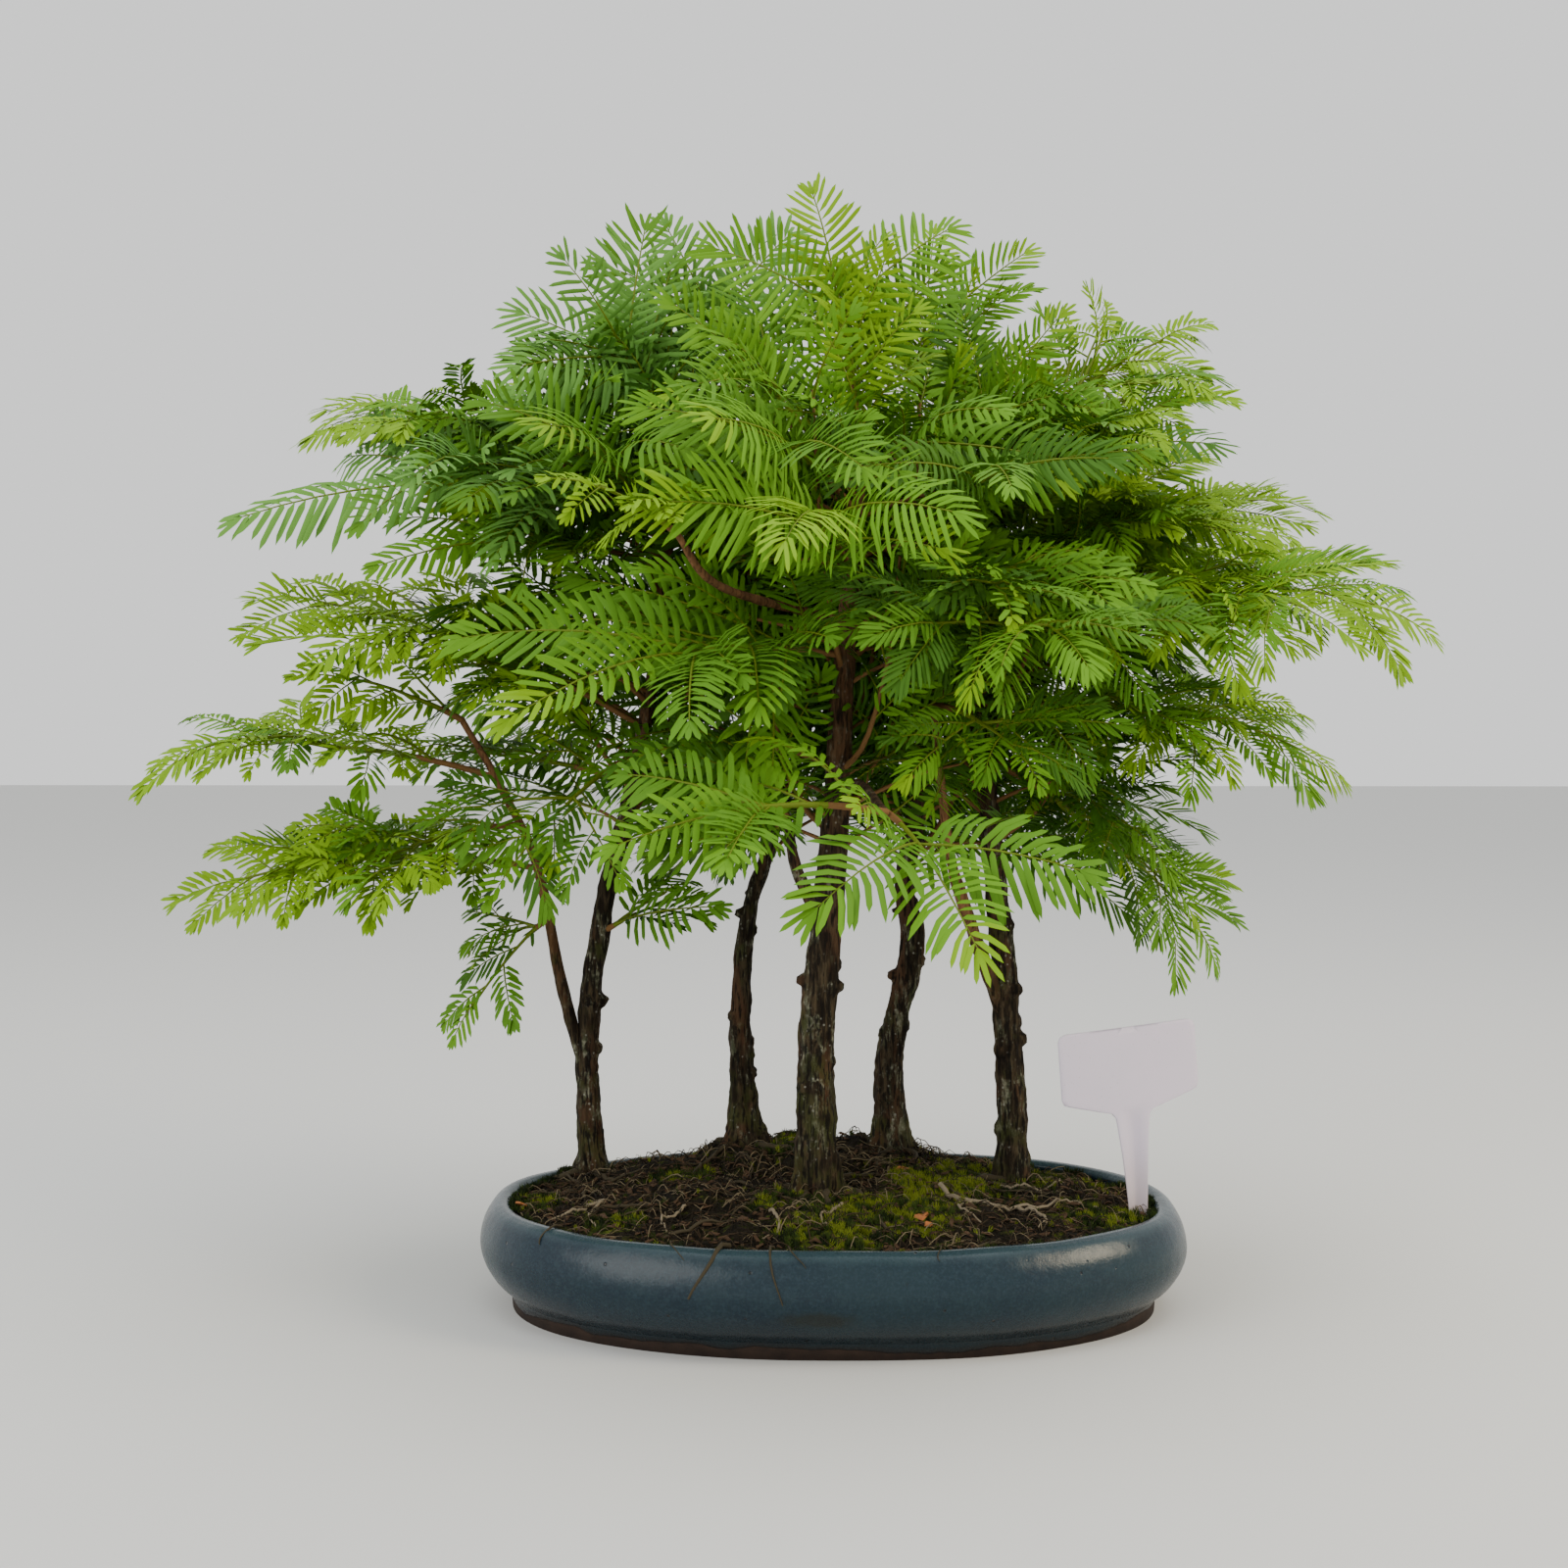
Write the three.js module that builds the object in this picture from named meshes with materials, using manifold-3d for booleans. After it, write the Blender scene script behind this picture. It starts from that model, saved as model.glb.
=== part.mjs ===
// Dawn redwood forest bonsai: five young trees in one oval glazed pot with a blank plant label.
// Millimetres, +Z up. The origin is the centre of the pot's flat underside, +X runs along the pot
// and -Y points at the front, the side that the trees were arranged for.

import * as THREE from 'three';
import { mergeVertices } from 'three/addons/utils/BufferGeometryUtils.js';
import Module from 'manifold-3d';

const wasm = await Module();
wasm.setup();

const UP = new THREE.Vector3(0, 0, 1);
const FRONT = new THREE.Vector3(0, -1, 0);
const GAP = 0.3;
const SMALLEST_DETAIL = 0.02;

// Pot: superellipse rings, each set in from the widest one, from the foot over the lip to the floor
const POT_HALF_LENGTH = 144;
const POT_HALF_DEPTH = 97;
const POT_SQUARENESS = 2.2;
const POT_SIDES = 36;
const FOOT_HEIGHT = 6;
const LIP_HEIGHT = 42;
const FLOOR_HEIGHT = 9;
const POT_OUTSIDE = [
  [13, 0], [13, FOOT_HEIGHT], [10.5, 8], [5.5, 12.5], [1.5, 19], [0, 26], [1.5, 34], [5, 40],
];
const POT_LIP = [[8, LIP_HEIGHT], [13, 40]];
const POT_INSIDE = [[9.5, 32], [9, 24], [14, 13], [19, FLOOR_HEIGHT]];

// Soil: fills the pot and swells to a low hill, with a knoll under each trunk. A mound is a heap of
// litter or a cushion of moss: its place, radius and rise. The shares are rings from rim to middle.
const SOIL_RIM_HEIGHT = 39;
const SOIL_RIM_WIDTH = 3;
const SOIL_HILL = 6;
const SOIL_SHARES = [0.86, 0.7, 0.52, 0.34, 0.15];
const MOUNDS = [
  [-80, 44, 20, 6], [-38, 62, 24, 8], [-6, 58, 24, 8], [26, 54, 28, 7.5], [64, 42, 16, 3],
  [36, 4, 24, 4], [-60, -10, 30, 3], [100, -4, 18, 2.5], [-14, -52, 20, 2],
];
// Cushions: small clumps of moss and litter, scattered over the hill
const CUSHION_COUNT = 20;
const CUSHION_SEED = 5;
const CUSHION_SIDES = 5;
const CUSHION_SMALLEST = 7;
const CUSHION_LARGEST = 13;
const CUSHION_RISE = 3;
const CUSHION_TOP = 0.5;
const CUSHION_SUNK = 2;
const CUSHION_REACH = 0.84;
const KNOLL_SIDES = 7;
const KNOLL_TOP = 0.72;
const KNOLL_SKIRT = 9;
const KNOLL_ROOT = 2;
const CLUMP_TRIM = [FLOOR_HEIGHT + 1, LIP_HEIGHT * 2];

// Plant label: a bare T of white plastic, pushed into the soil at the right end of the pot
const LABEL_HEAD = 60;
const LABEL_HEAD_TOP = 75;
const LABEL_HEAD_SIDE = 49;
const LABEL_SHOULDER = 41;
const LABEL_NECK = 14;
const LABEL_STEM = 8;
const LABEL_BURIED = 16;
const LABEL_POINT = 10;
const LABEL_BEND = 5;
const LABEL_BEND_OUT = 6;
const LABEL_BEND_RISE = 1;
const LABEL_CORNER = 3;
const LABEL_EDGE_RISE = 2;
const LABEL_CURVE_STEPS = 3;
const LABEL_THICKNESS = 0.9;
const WELD_DISTANCE = 0.001;
const LABEL_FOOT = [123.5, -16.5, 40];
const LABEL_TURN = 18;
const LABEL_ROLL = 4.5;

// Trunks: diameters at the flared foot, above the flare and at the tip, and the course of the
// heart wood from the flat cut on the soil up. A stub is a pruned bough: share, compass, length.
const TRUNK_SIDES = 8;
const TRUNK_RINGS = 12;
const RING_CROWDING = 1.5;
const TRUNK_FULLNESS = 0.65;
const LOBE_DEPTH = 0.16;
const LOBE_FADING = 18;
const STUB_SIDES = 5;
const STUB_RISE = 0.35;
const STUB_SUNK = 0.3;
const STUB_ROOT = 0.7;
const STUB_TIP = 0.5;
const TRUNKS = {
  left: {
    foot: 15, waist: 10.5, tip: 2.6, flare: 12, lobes: 4,
    course: [[-104, 45, 42], [-106, 45, 95], [-99, 45, 154], [-84, 43, 216], [-73, 40, 280],
      [-67, 38, 345]],
    stubs: [[0.2, 0, 1.5], [0.27, 10, 2]],
  },
  back_left: {
    foot: 20, waist: 9.5, tip: 2.4, flare: 18, lobes: 3,
    course: [[-38, 64, 51], [-40, 64, 100], [-37, 64, 150], [-25, 62, 195], [-24, 60, 265],
      [-30, 57, 355]],
    stubs: [[0.41, 180, 2.5], [0.45, 110, 2]],
  },
  front: {
    foot: 19.5, waist: 16.5, tip: 3, flare: 10, lobes: 5,
    course: [[-6, -4, 46], [-6, -4, 110], [0, -6, 180], [5, -9, 260], [12, -11, 345]],
    stubs: [[0.33, 180, 2.5], [0.32, 0, 2]],
  },
  back_right: {
    foot: 18, waist: 12.5, tip: 2.6, flare: 14, lobes: 4,
    course: [[26, 56, 51], [26, 56, 95], [35, 56, 139], [32, 56, 168], [42, 54, 233],
      [36, 52, 300], [37, 51, 360]],
    stubs: [[0.28, 180, 2.5], [0.43, 190, 2]],
  },
  right: {
    foot: 15.5, waist: 12, tip: 2.6, flare: 12, lobes: 3,
    course: [[77, 27, 44], [73, 27, 124], [67, 26, 190], [58, 24, 265], [50, 22, 340]],
    stubs: [[0.18, 0, 2], [0.25, 330, 1.5]],
  },
};

// Boughs: the trunk and the share of it that they spring from, diameters at both ends, and their
// course from the trunk's heart on
const BOUGH_SIDES = 6;
const BOUGH_RINGS = 7;
const BOUGHS = {
  low_bough: {
    trunk: 'left', from: 0.16, root: 5.6, tip: 2.6,
    course: [[-117, 42, 125], [-126, 35, 175], [-141, 26, 211], [-155, 20, 237]],
  },
  fork_bough: {
    trunk: 'right', from: 0.2, root: 6.4, tip: 3,
    course: [[55, 15, 160], [48, 8, 187], [41, 0, 243]],
  },
  spur_bough: {
    trunk: 'front', from: 0.41, root: 7, tip: 3,
    course: [[-14, -7, 176], [-18, -9, 198]],
  },
  front_bough: {
    trunk: 'front', from: 0.58, root: 5.4, tip: 2.6,
    course: [[10, -60, 213], [19, -110, 205]],
  },
  slender_bough: {
    trunk: 'front', from: 0.8, root: 3.8, tip: 2.4,
    course: [[-42, -60, 288], [-58, -76, 307]],
  },
};

// Foliage: every row is one mass, as the share of the limb that its stem springs from, the compass
// angle of its reach with 0 at +X and 90 at the back, and how far its tip reaches out and rises
const FOLIAGE = {
  left: [
    [1, 225, 58, 78, 3], [0.94, 203, 178, -8], [0.96, 172, 155, 34], [0.87, 217, 132, -5],
    [0.66, 190, 162, 52], [0.9, 252, 115, 35], [0.62, 238, 96, -55], [0.58, 163, 108, 6],
    [0.9, 130, 172, 40], [0.38, 325, 62, 12],
  ],
  low_bough: [
    [0.78, 187, 137, 5], [1, 206, 70, 18], [0.5, 186, 150, -14], [0.62, 216, 97, -30],
    [0.38, 205, 42, -48],
  ],
  back_left: [
    [1, 175, 42, 96, 3], [0.97, 197, 104, 66], [0.9, 120, 150, 55], [0.8, 92, 142, 30],
    [0.6, 118, 118, 0],
  ],
  front: [
    [1, 190, 20, 101, 2], [0.95, 209, 81, 68], [0.93, 245, 120, 22], [0.86, 261, 150, 0],
    [0.76, 226, 168, -25], [0.8, 327, 129, 10],
  ],
  slender_bough: [[1, 222, 58, 16]],
  front_bough: [[1, 205, 100, -9], [0.9, 290, 86, -42]],
  spur_bough: [[1, 240, 66, 26]],
  fork_bough: [[1, 291, 96, -29]],
  back_right: [
    [1, 60, 14, 88, 3], [0.96, 42, 60, 52], [0.84, 75, 153, 60], [0.74, 92, 140, 15],
    [0.57, 68, 120, -8],
  ],
  right: [
    [1, 330, 48, 60, 2], [0.97, 0, 104, 70], [0.94, 340, 112, 42], [0.87, 3, 138, 12],
    [0.79, 347, 184, -5], [0.68, 350, 148, -30], [0.6, 6, 100, -86], [0.76, 281, 158, -12],
    [0.93, 274, 143, 0], [0.84, 41, 177, 18], [0.73, 52, 171, 3],
  ],
};

// Stem of a mass: it bears one spray at its tip, which takes the last half of its reach
const STEM_SIDES = 3;
const STEM_RINGS = 4;
const STEM_ROOT = 1.5;
const STEM_TIP = 0.9;
const STEM_ARCH = 0.07;
const STEM_LEAST_SHARE = 0.04;
const STEM_OVERRUN = 0.01;
const STANDOFF_START = 0.9;
const STANDOFF_STEP = 0.1;
const STANDOFF_SLACK = 0.1;
const TIP_SPRAY_SHARE = 0.5;

// Pairs of sprays along the stem, behind the one at its tip
const PAIRS_MOST = 3;
const PAIR_SPACING = 28;
const PAIR_BACK = 2;
const PAIR_STAGGER = 0.2;
const PAIR_ANGLE = 52;
const PAIR_ANGLE_SCATTER = 16;
const BARE_STEM = 12;
const BARE_STEM_LEAST = 6;
const PAIR_LENGTH = 0.78;
const PAIR_LENGTH_SCATTER = 0.3;
const PAIR_SHORTEST = 56;
const PAIR_LIFT = 0.1;
const PAIR_DROOP = 0.25;

// Spray: a toothed blade with a flat underside and a ridge along its rib
const SPRAY_LONGEST = 100;
const SPRAY_SHORTEST = 50;
const SPRAY_ARCH = 0.08;
const SPRAY_LEAN = 0.12;
const SPRAY_LEAN_FRONT = 0.5;
const SPRAY_LEAN_UP = 1;
const SPRAY_ROLL = 15;
const STALK_SHARE = 0.14;
const STALK_HALF_WIDTH = 0.3;
const STALK_DROP = 0.2;
const RIB_HALF_WIDTH = 1.1;
const RIB_TAPER = 0.5;
const RIB_RIDGE = 1.4;
const TEETH = 5;
const TEETH_SHORT = 4;
const SHORT_SPRAY = 82;
const TEETH_SPAN = 0.74;
const TOOTH_REACH = 0.29;
const TOOTH_FORWARD = 0.45;
const TOOTH_DROOP = 0.1;
const SWELL_START = 0.3;
const SWELL_SPAN = 0.55;
const SWELL_NARROWING = 0.5;

// Room that a spray keeps round itself, and the turns that it tries to find it
const ROOM = 0.5;
const ROOM_START = 0.06;
const ROOM_LENGTH = 0.95;
const TURN_TRIES = 7;
const TURN_STEP = 0.3;

// Colours and finishes
const GLAZE = { color: 0x35505c, roughness: 0.35, metalness: 0 };
const EARTH = { color: 0x3a2c1c, roughness: 1, metalness: 0 };
const BARK = { color: 0x5a3b28, roughness: 0.9, metalness: 0 };
const YOUNG_BARK = { color: 0x8a5430, roughness: 0.8, metalness: 0 };
const NEEDLES = { color: 0x6fae2a, roughness: 0.6, metalness: 0 };
const WHITE_PLASTIC = { color: 0xd9d3dc, roughness: 0.5, metalness: 0 };

function vector([x, y, z]) {
  return new THREE.Vector3(x, y, z);
}

// A solid from shared points and the triangles between them
function solidOf(points, faces) {
  const vertProperties = new Float32Array(points.flatMap((point) => point.toArray()));
  const triVerts = new Uint32Array(faces.flat());
  return new wasm.Manifold(new wasm.Mesh({ numProp: 3, vertProperties, triVerts }));
}

// A solid skinned over rings of equally many points, anticlockwise seen from the last ring
function loft(rings) {
  const sides = rings[0].length;
  const faces = [];
  for (let ring = 0; ring < rings.length - 1; ring++) {
    for (let side = 0; side < sides; side++) {
      const low = ring * sides + side;
      const lowNext = ring * sides + ((side + 1) % sides);
      faces.push([low, lowNext, lowNext + sides], [low, lowNext + sides, low + sides]);
    }
  }
  const last = (rings.length - 1) * sides;
  for (let side = 1; side < sides - 1; side++) {
    faces.push([0, side + 1, side], [last, last + side, last + side + 1]);
  }
  return solidOf(rings.flat(), faces);
}

function geometryOf(solid) {
  const { vertProperties, triVerts } = solid.asOriginal().simplify(SMALLEST_DETAIL).getMesh();
  const geometry = new THREE.BufferGeometry();
  geometry.setAttribute('position', new THREE.BufferAttribute(vertProperties, 3));
  geometry.setIndex(new THREE.BufferAttribute(triVerts, 1));
  return geometry;
}

function meshOf(name, solid, finish) {
  const mesh = new THREE.Mesh(geometryOf(solid), new THREE.MeshStandardMaterial(finish));
  mesh.name = name;
  return mesh;
}

// Repeatable random numbers from 0 to 1
function randomFrom(seed) {
  let state = seed >>> 0;
  return () => {
    state = (state + 0x6d2b79f5) >>> 0;
    let mixed = Math.imul(state ^ (state >>> 15), state | 1);
    mixed ^= mixed + Math.imul(mixed ^ (mixed >>> 7), mixed | 61);
    return ((mixed ^ (mixed >>> 14)) >>> 0) / 4294967296;
  };
}

// Pot and soil
function ovalRing(inset, height) {
  const power = 2 / POT_SQUARENESS;
  return Array.from({ length: POT_SIDES }, (_, side) => {
    const turn = (2 * Math.PI * (side + 0.5)) / POT_SIDES;
    const along = Math.sign(Math.cos(turn)) * Math.abs(Math.cos(turn)) ** power;
    const across = Math.sign(Math.sin(turn)) * Math.abs(Math.sin(turn)) ** power;
    return new THREE.Vector3(
      (POT_HALF_LENGTH - inset) * along, (POT_HALF_DEPTH - inset) * across, height);
  });
}

function makePot() {
  const profile = [...POT_OUTSIDE, ...POT_LIP, ...POT_INSIDE];
  return loft(profile.map(([inset, height]) => ovalRing(inset, height)));
}

// Height of the hill at a place
function groundAt(x, y) {
  const inset = POT_INSIDE[0][0] + SOIL_RIM_WIDTH;
  const share = (Math.abs(x / (POT_HALF_LENGTH - inset)) ** POT_SQUARENESS
    + Math.abs(y / (POT_HALF_DEPTH - inset)) ** POT_SQUARENESS) ** (1 / POT_SQUARENESS);
  return MOUNDS.reduce((height, [moundX, moundY, radius, rise]) => {
    const distance = Math.hypot(x - moundX, y - moundY);
    return height + rise * Math.exp(-((distance / radius) ** 2));
  }, SOIL_RIM_HEIGHT + SOIL_HILL * (1 - share ** 2));
}

function soilRing(share) {
  return ovalRing(POT_INSIDE[0][0] + SOIL_RIM_WIDTH, 0).map(({ x, y }) => (
    new THREE.Vector3(x * share, y * share, groundAt(x * share, y * share))));
}

// A low clump with a flat top: its place, foot and top, as radius and height
function makeClump(x, y, sides, [footRadius, foot], [topRadius, top]) {
  const ringAt = (radius, height) => Array.from({ length: sides }, (_, side) => {
    const turn = (2 * Math.PI * side) / sides;
    return new THREE.Vector3(x + radius * Math.cos(turn), y + radius * Math.sin(turn), height);
  });
  return loft([ringAt(footRadius, foot), ringAt(topRadius, top)]);
}

function makeCushions() {
  const random = randomFrom(CUSHION_SEED);
  return Array.from({ length: CUSHION_COUNT }, () => {
    const turn = 2 * Math.PI * random();
    const reach = CUSHION_REACH * Math.sqrt(random());
    const x = (POT_HALF_LENGTH - POT_LIP[1][0]) * reach * Math.cos(turn);
    const y = (POT_HALF_DEPTH - POT_LIP[1][0]) * reach * Math.sin(turn);
    const radius = CUSHION_SMALLEST + (CUSHION_LARGEST - CUSHION_SMALLEST) * random();
    const ground = groundAt(x, y);
    return makeClump(x, y, CUSHION_SIDES, [radius, ground - CUSHION_SUNK],
      [radius * CUSHION_TOP, ground + CUSHION_RISE]);
  });
}

function makeKnoll(trunk) {
  const [x, y, ground] = trunk.course[0];
  const top = trunk.foot * KNOLL_TOP;
  return makeClump(x, y, KNOLL_SIDES, [top + KNOLL_SKIRT, SOIL_RIM_HEIGHT - KNOLL_ROOT],
    [top, ground - GAP]);
}

function makeSoil() {
  const rings = POT_INSIDE.toReversed().map(([inset, height], index) => (
    ovalRing(inset + GAP, index === 0 ? height + GAP : height)));
  const mouth = POT_LIP[1][0] + GAP;
  rings.push(ovalRing(mouth, SOIL_RIM_HEIGHT), ...SOIL_SHARES.map(soilRing));
  const column = loft(CLUMP_TRIM.map((height) => ovalRing(mouth, height)));
  const trunks = Object.values(TRUNKS);
  let soil = loft(rings);
  [...makeCushions(), ...trunks.map(makeKnoll)].forEach((clump) => {
    soil = soil.add(clump.intersect(column));
  });
  trunks.forEach((trunk) => {
    soil = soil.subtract(makeTrunk(trunk, trunkLimb(trunk), GAP).translate([0, 0, -GAP]));
  });
  return soil.subtract(makeLabel(GAP));
}

// Label, or with room around it the slot that it leaves in the soil
function makeLabel(room = 0) {
  const stem = LABEL_STEM / 2 + room;
  const neck = LABEL_NECK / 2 + room;
  const head = LABEL_HEAD / 2 + room;
  const side = new THREE.Path();
  side.moveTo(0, -LABEL_BURIED - room);
  side.lineTo(stem, LABEL_POINT - LABEL_BURIED);
  side.lineTo(stem, 0);
  side.lineTo(neck, LABEL_SHOULDER - LABEL_BEND);
  side.quadraticCurveTo(
    neck, LABEL_SHOULDER, neck + LABEL_BEND_OUT, LABEL_SHOULDER + LABEL_BEND_RISE);
  side.lineTo(head - LABEL_CORNER, LABEL_HEAD_SIDE - LABEL_CORNER);
  side.quadraticCurveTo(
    head, LABEL_HEAD_SIDE - LABEL_EDGE_RISE, head, LABEL_HEAD_SIDE + LABEL_EDGE_RISE);
  side.lineTo(head, LABEL_HEAD_TOP - LABEL_CORNER);
  side.quadraticCurveTo(head, LABEL_HEAD_TOP, head - LABEL_CORNER, LABEL_HEAD_TOP);
  const right = side.getPoints(LABEL_CURVE_STEPS);
  const left = right.slice(1).reverse().map(({ x, y }) => new THREE.Vector2(-x, y));
  const depth = LABEL_THICKNESS + 2 * room;
  const outline = new THREE.Shape([...right, ...left]);
  const extruded = new THREE.ExtrudeGeometry(outline, { depth, bevelEnabled: false });
  extruded.translate(0, 0, -depth / 2);
  extruded.rotateX(Math.PI / 2);
  extruded.rotateY(THREE.MathUtils.degToRad(-LABEL_ROLL));
  extruded.rotateZ(THREE.MathUtils.degToRad(LABEL_TURN));
  extruded.translate(...LABEL_FOOT);
  extruded.deleteAttribute('normal');
  extruded.deleteAttribute('uv');
  const merged = mergeVertices(extruded, WELD_DISTANCE);
  return new wasm.Manifold(new wasm.Mesh({
    numProp: 3,
    vertProperties: new Float32Array(merged.attributes.position.array),
    triVerts: new Uint32Array(merged.index.array),
  }));
}

// Limbs: a course, and the radius at any share of it
function courseOf(points) {
  return new THREE.CatmullRomCurve3(points, false, 'catmullrom', 0.5);
}

function trunkLimb(trunk) {
  const length = trunk.course.at(-1)[2] - trunk.course[0][2];
  const radiusAt = (share) => {
    const taper = (trunk.waist - trunk.tip) * (1 - share) ** TRUNK_FULLNESS;
    const flare = (trunk.foot - trunk.waist) * Math.exp((-share * length) / trunk.flare);
    return (trunk.tip + taper + flare) / 2;
  };
  return { course: courseOf(trunk.course.map(vector)), radiusAt };
}

function boughLimb(bough, trunk) {
  const heart = trunk.course.getPoint(bough.from);
  const radiusAt = (share) => (bough.root + (bough.tip - bough.root) * share) / 2;
  return { course: courseOf([heart, ...bough.course.map(vector)]), radiusAt };
}

// A level ring round a trunk, with the lobes that its roots make near the ground
function trunkRing(trunk, limb, share, room) {
  const centre = limb.course.getPoint(share);
  const lobe = LOBE_DEPTH * Math.exp(-share * LOBE_FADING);
  return Array.from({ length: TRUNK_SIDES }, (_, side) => {
    const turn = (2 * Math.PI * side) / TRUNK_SIDES;
    const lobed = 1 + lobe * Math.cos(trunk.lobes * turn + trunk.foot);
    const radius = limb.radiusAt(share) * lobed + room;
    return new THREE.Vector3(
      centre.x + radius * Math.cos(turn), centre.y + radius * Math.sin(turn), centre.z);
  });
}

function makeTrunk(trunk, limb, room = 0) {
  const rings = Array.from({ length: TRUNK_RINGS }, (_, ring) => (
    trunkRing(trunk, limb, (ring / (TRUNK_RINGS - 1)) ** RING_CROWDING, room)));
  let solid = loft(rings);
  trunk.stubs.forEach(([share, compass, length]) => {
    solid = solid.add(makeStub(limb, share, compass, length));
  });
  return solid;
}

// What is left of a bough cut close to the trunk
function makeStub(limb, share, compass, length) {
  const heart = limb.course.getPoint(share);
  const radius = limb.radiusAt(share);
  const turn = THREE.MathUtils.degToRad(compass);
  const out = new THREE.Vector3(Math.cos(turn), Math.sin(turn), STUB_RISE).normalize();
  const ringAt = (distance, size) => tubeRing(
    heart.clone().addScaledVector(out, distance), out, radius * size, STUB_SIDES);
  return loft([ringAt(STUB_SUNK * radius, STUB_ROOT), ringAt(radius + length, STUB_TIP)]);
}

// A ring of points square to a direction
function tubeRing(centre, direction, radius, sides) {
  const reference = Math.abs(direction.z) > 0.9 ? FRONT : UP;
  const right = new THREE.Vector3().crossVectors(direction, reference).normalize();
  const over = new THREE.Vector3().crossVectors(right, direction);
  return Array.from({ length: sides }, (_, side) => {
    const turn = (-2 * Math.PI * side) / sides;
    return centre.clone()
      .addScaledVector(right, radius * Math.cos(turn))
      .addScaledVector(over, radius * Math.sin(turn));
  });
}

function makeBough(limb) {
  return loft(Array.from({ length: BOUGH_RINGS }, (_, ring) => {
    const share = ring / (BOUGH_RINGS - 1);
    const direction = limb.course.getTangent(share);
    return tubeRing(limb.course.getPoint(share), direction, limb.radiusAt(share), BOUGH_SIDES);
  }));
}

// A low arch from one point to another, over which stems and sprays grow
function archOf(start, end, over, height) {
  const chord = new THREE.Vector3().subVectors(end, start);
  const rise = over.clone().multiplyScalar(4 * height * chord.length());
  return {
    pointAt: (share) => start.clone()
      .addScaledVector(chord, share)
      .addScaledVector(rise, share * (1 - share)),
    tangentAt: (share) => chord.clone()
      .addScaledVector(rise, 1 - 2 * share)
      .normalize(),
  };
}

// The part of a direction that is square to another one
function squareTo(direction, axis) {
  return direction.clone().addScaledVector(axis, -direction.dot(axis)).normalize();
}

// How far the teeth reach out at a share of a spray's length
function swellAt(share) {
  const round = Math.sin(Math.PI * (SWELL_START + SWELL_SPAN * share));
  return round * (1 - SWELL_NARROWING * share ** 3);
}

// A spray of needles. Room makes the same blade a little larger all round, to test what it touches.
function makeSpray(base, chord, over, room = 0) {
  const length = chord.length();
  const along = chord.clone().normalize();
  const across = new THREE.Vector3().crossVectors(along, over);
  const arch = archOf(base, base.clone().add(chord), over, SPRAY_ARCH);
  const place = (share, side, lift) => arch.pointAt(share)
    .addScaledVector(across, side)
    .addScaledVector(over, lift);
  const teeth = length < SHORT_SPRAY ? TEETH_SHORT : TEETH;
  const stations = [0];
  for (let tooth = 0; tooth <= teeth; tooth++) {
    stations.push(STALK_SHARE + (TEETH_SPAN * tooth) / teeth);
  }
  const points = [];
  const faces = [];
  stations.forEach((share, station) => {
    const size = station === 0 ? STALK_HALF_WIDTH : RIB_HALF_WIDTH - RIB_TAPER * share;
    const under = station === 0 ? -STALK_DROP - room : -room;
    points.push(place(share, size + room, under));
    points.push(place(share, 0, RIB_RIDGE * size + room));
    points.push(place(share, -size - room, under));
  });
  const ribPoint = (station, side) => station * 3 + side;
  const quad = (a, b, c, d) => faces.push([a, b, c], [a, c, d]);
  faces.push([0, 1, 2]);
  quad(0, 3, 4, 1);
  quad(1, 4, 5, 2);
  quad(0, 2, 5, 3);
  for (let station = 1; station <= teeth; station++) {
    const next = station + 1;
    const middle = (stations[station] + stations[next]) / 2;
    const reach = TOOTH_REACH * length * swellAt(middle);
    const forward = middle + (TOOTH_FORWARD * reach + room) / length;
    [[0, 1], [2, -1]].forEach(([edge, side]) => {
      points.push(place(forward, side * (reach + 2 * room), -TOOTH_DROOP * reach - room));
      const tip = points.length - 1;
      const [low, high] = [ribPoint(station, edge), ribPoint(next, edge)];
      const [lowRidge, highRidge] = [ribPoint(station, 1), ribPoint(next, 1)];
      const skin = [[low, tip, lowRidge], [lowRidge, tip, highRidge], [highRidge, tip, high]];
      skin.push([low, high, tip]);
      skin.forEach((face) => faces.push(side === 1 ? face : face.toReversed()));
    });
    quad(ribPoint(station, 0), ribPoint(station, 2), ribPoint(next, 2), ribPoint(next, 0));
  }
  const end = stations.length - 1;
  points.push(place(1 + room / length, 0, -room));
  const tip = points.length - 1;
  faces.push([ribPoint(end, 0), tip, ribPoint(end, 1)]);
  faces.push([ribPoint(end, 1), tip, ribPoint(end, 2)]);
  faces.push([ribPoint(end, 0), ribPoint(end, 2), tip]);
  return solidOf(points, faces);
}

// What stands in the way of foliage
function obstacleOf(owner, solid) {
  return { owner, solid, box: solid.boundingBox() };
}

function boxesMeet(a, b) {
  return [0, 1, 2].every((axis) => a.min[axis] <= b.max[axis] && b.min[axis] <= a.max[axis]);
}

function touches(solid, others) {
  const box = solid.boundingBox();
  return others.some((other) => (
    boxesMeet(box, other.box) && !solid.intersect(other.solid).isEmpty()));
}

// The stem of a mass, from just off its limb to the foot of the spray at its tip
function planStem(root, tip, start, random) {
  const length = root.distanceTo(tip);
  const last = THREE.MathUtils.clamp(TIP_SPRAY_SHARE * length, SPRAY_SHORTEST, SPRAY_LONGEST);
  const stemShare = Math.max(1 - last / length, STEM_LEAST_SHARE);
  return { root, tip, start, length, stemShare, random, arch: archOf(root, tip, UP, STEM_ARCH) };
}

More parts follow.
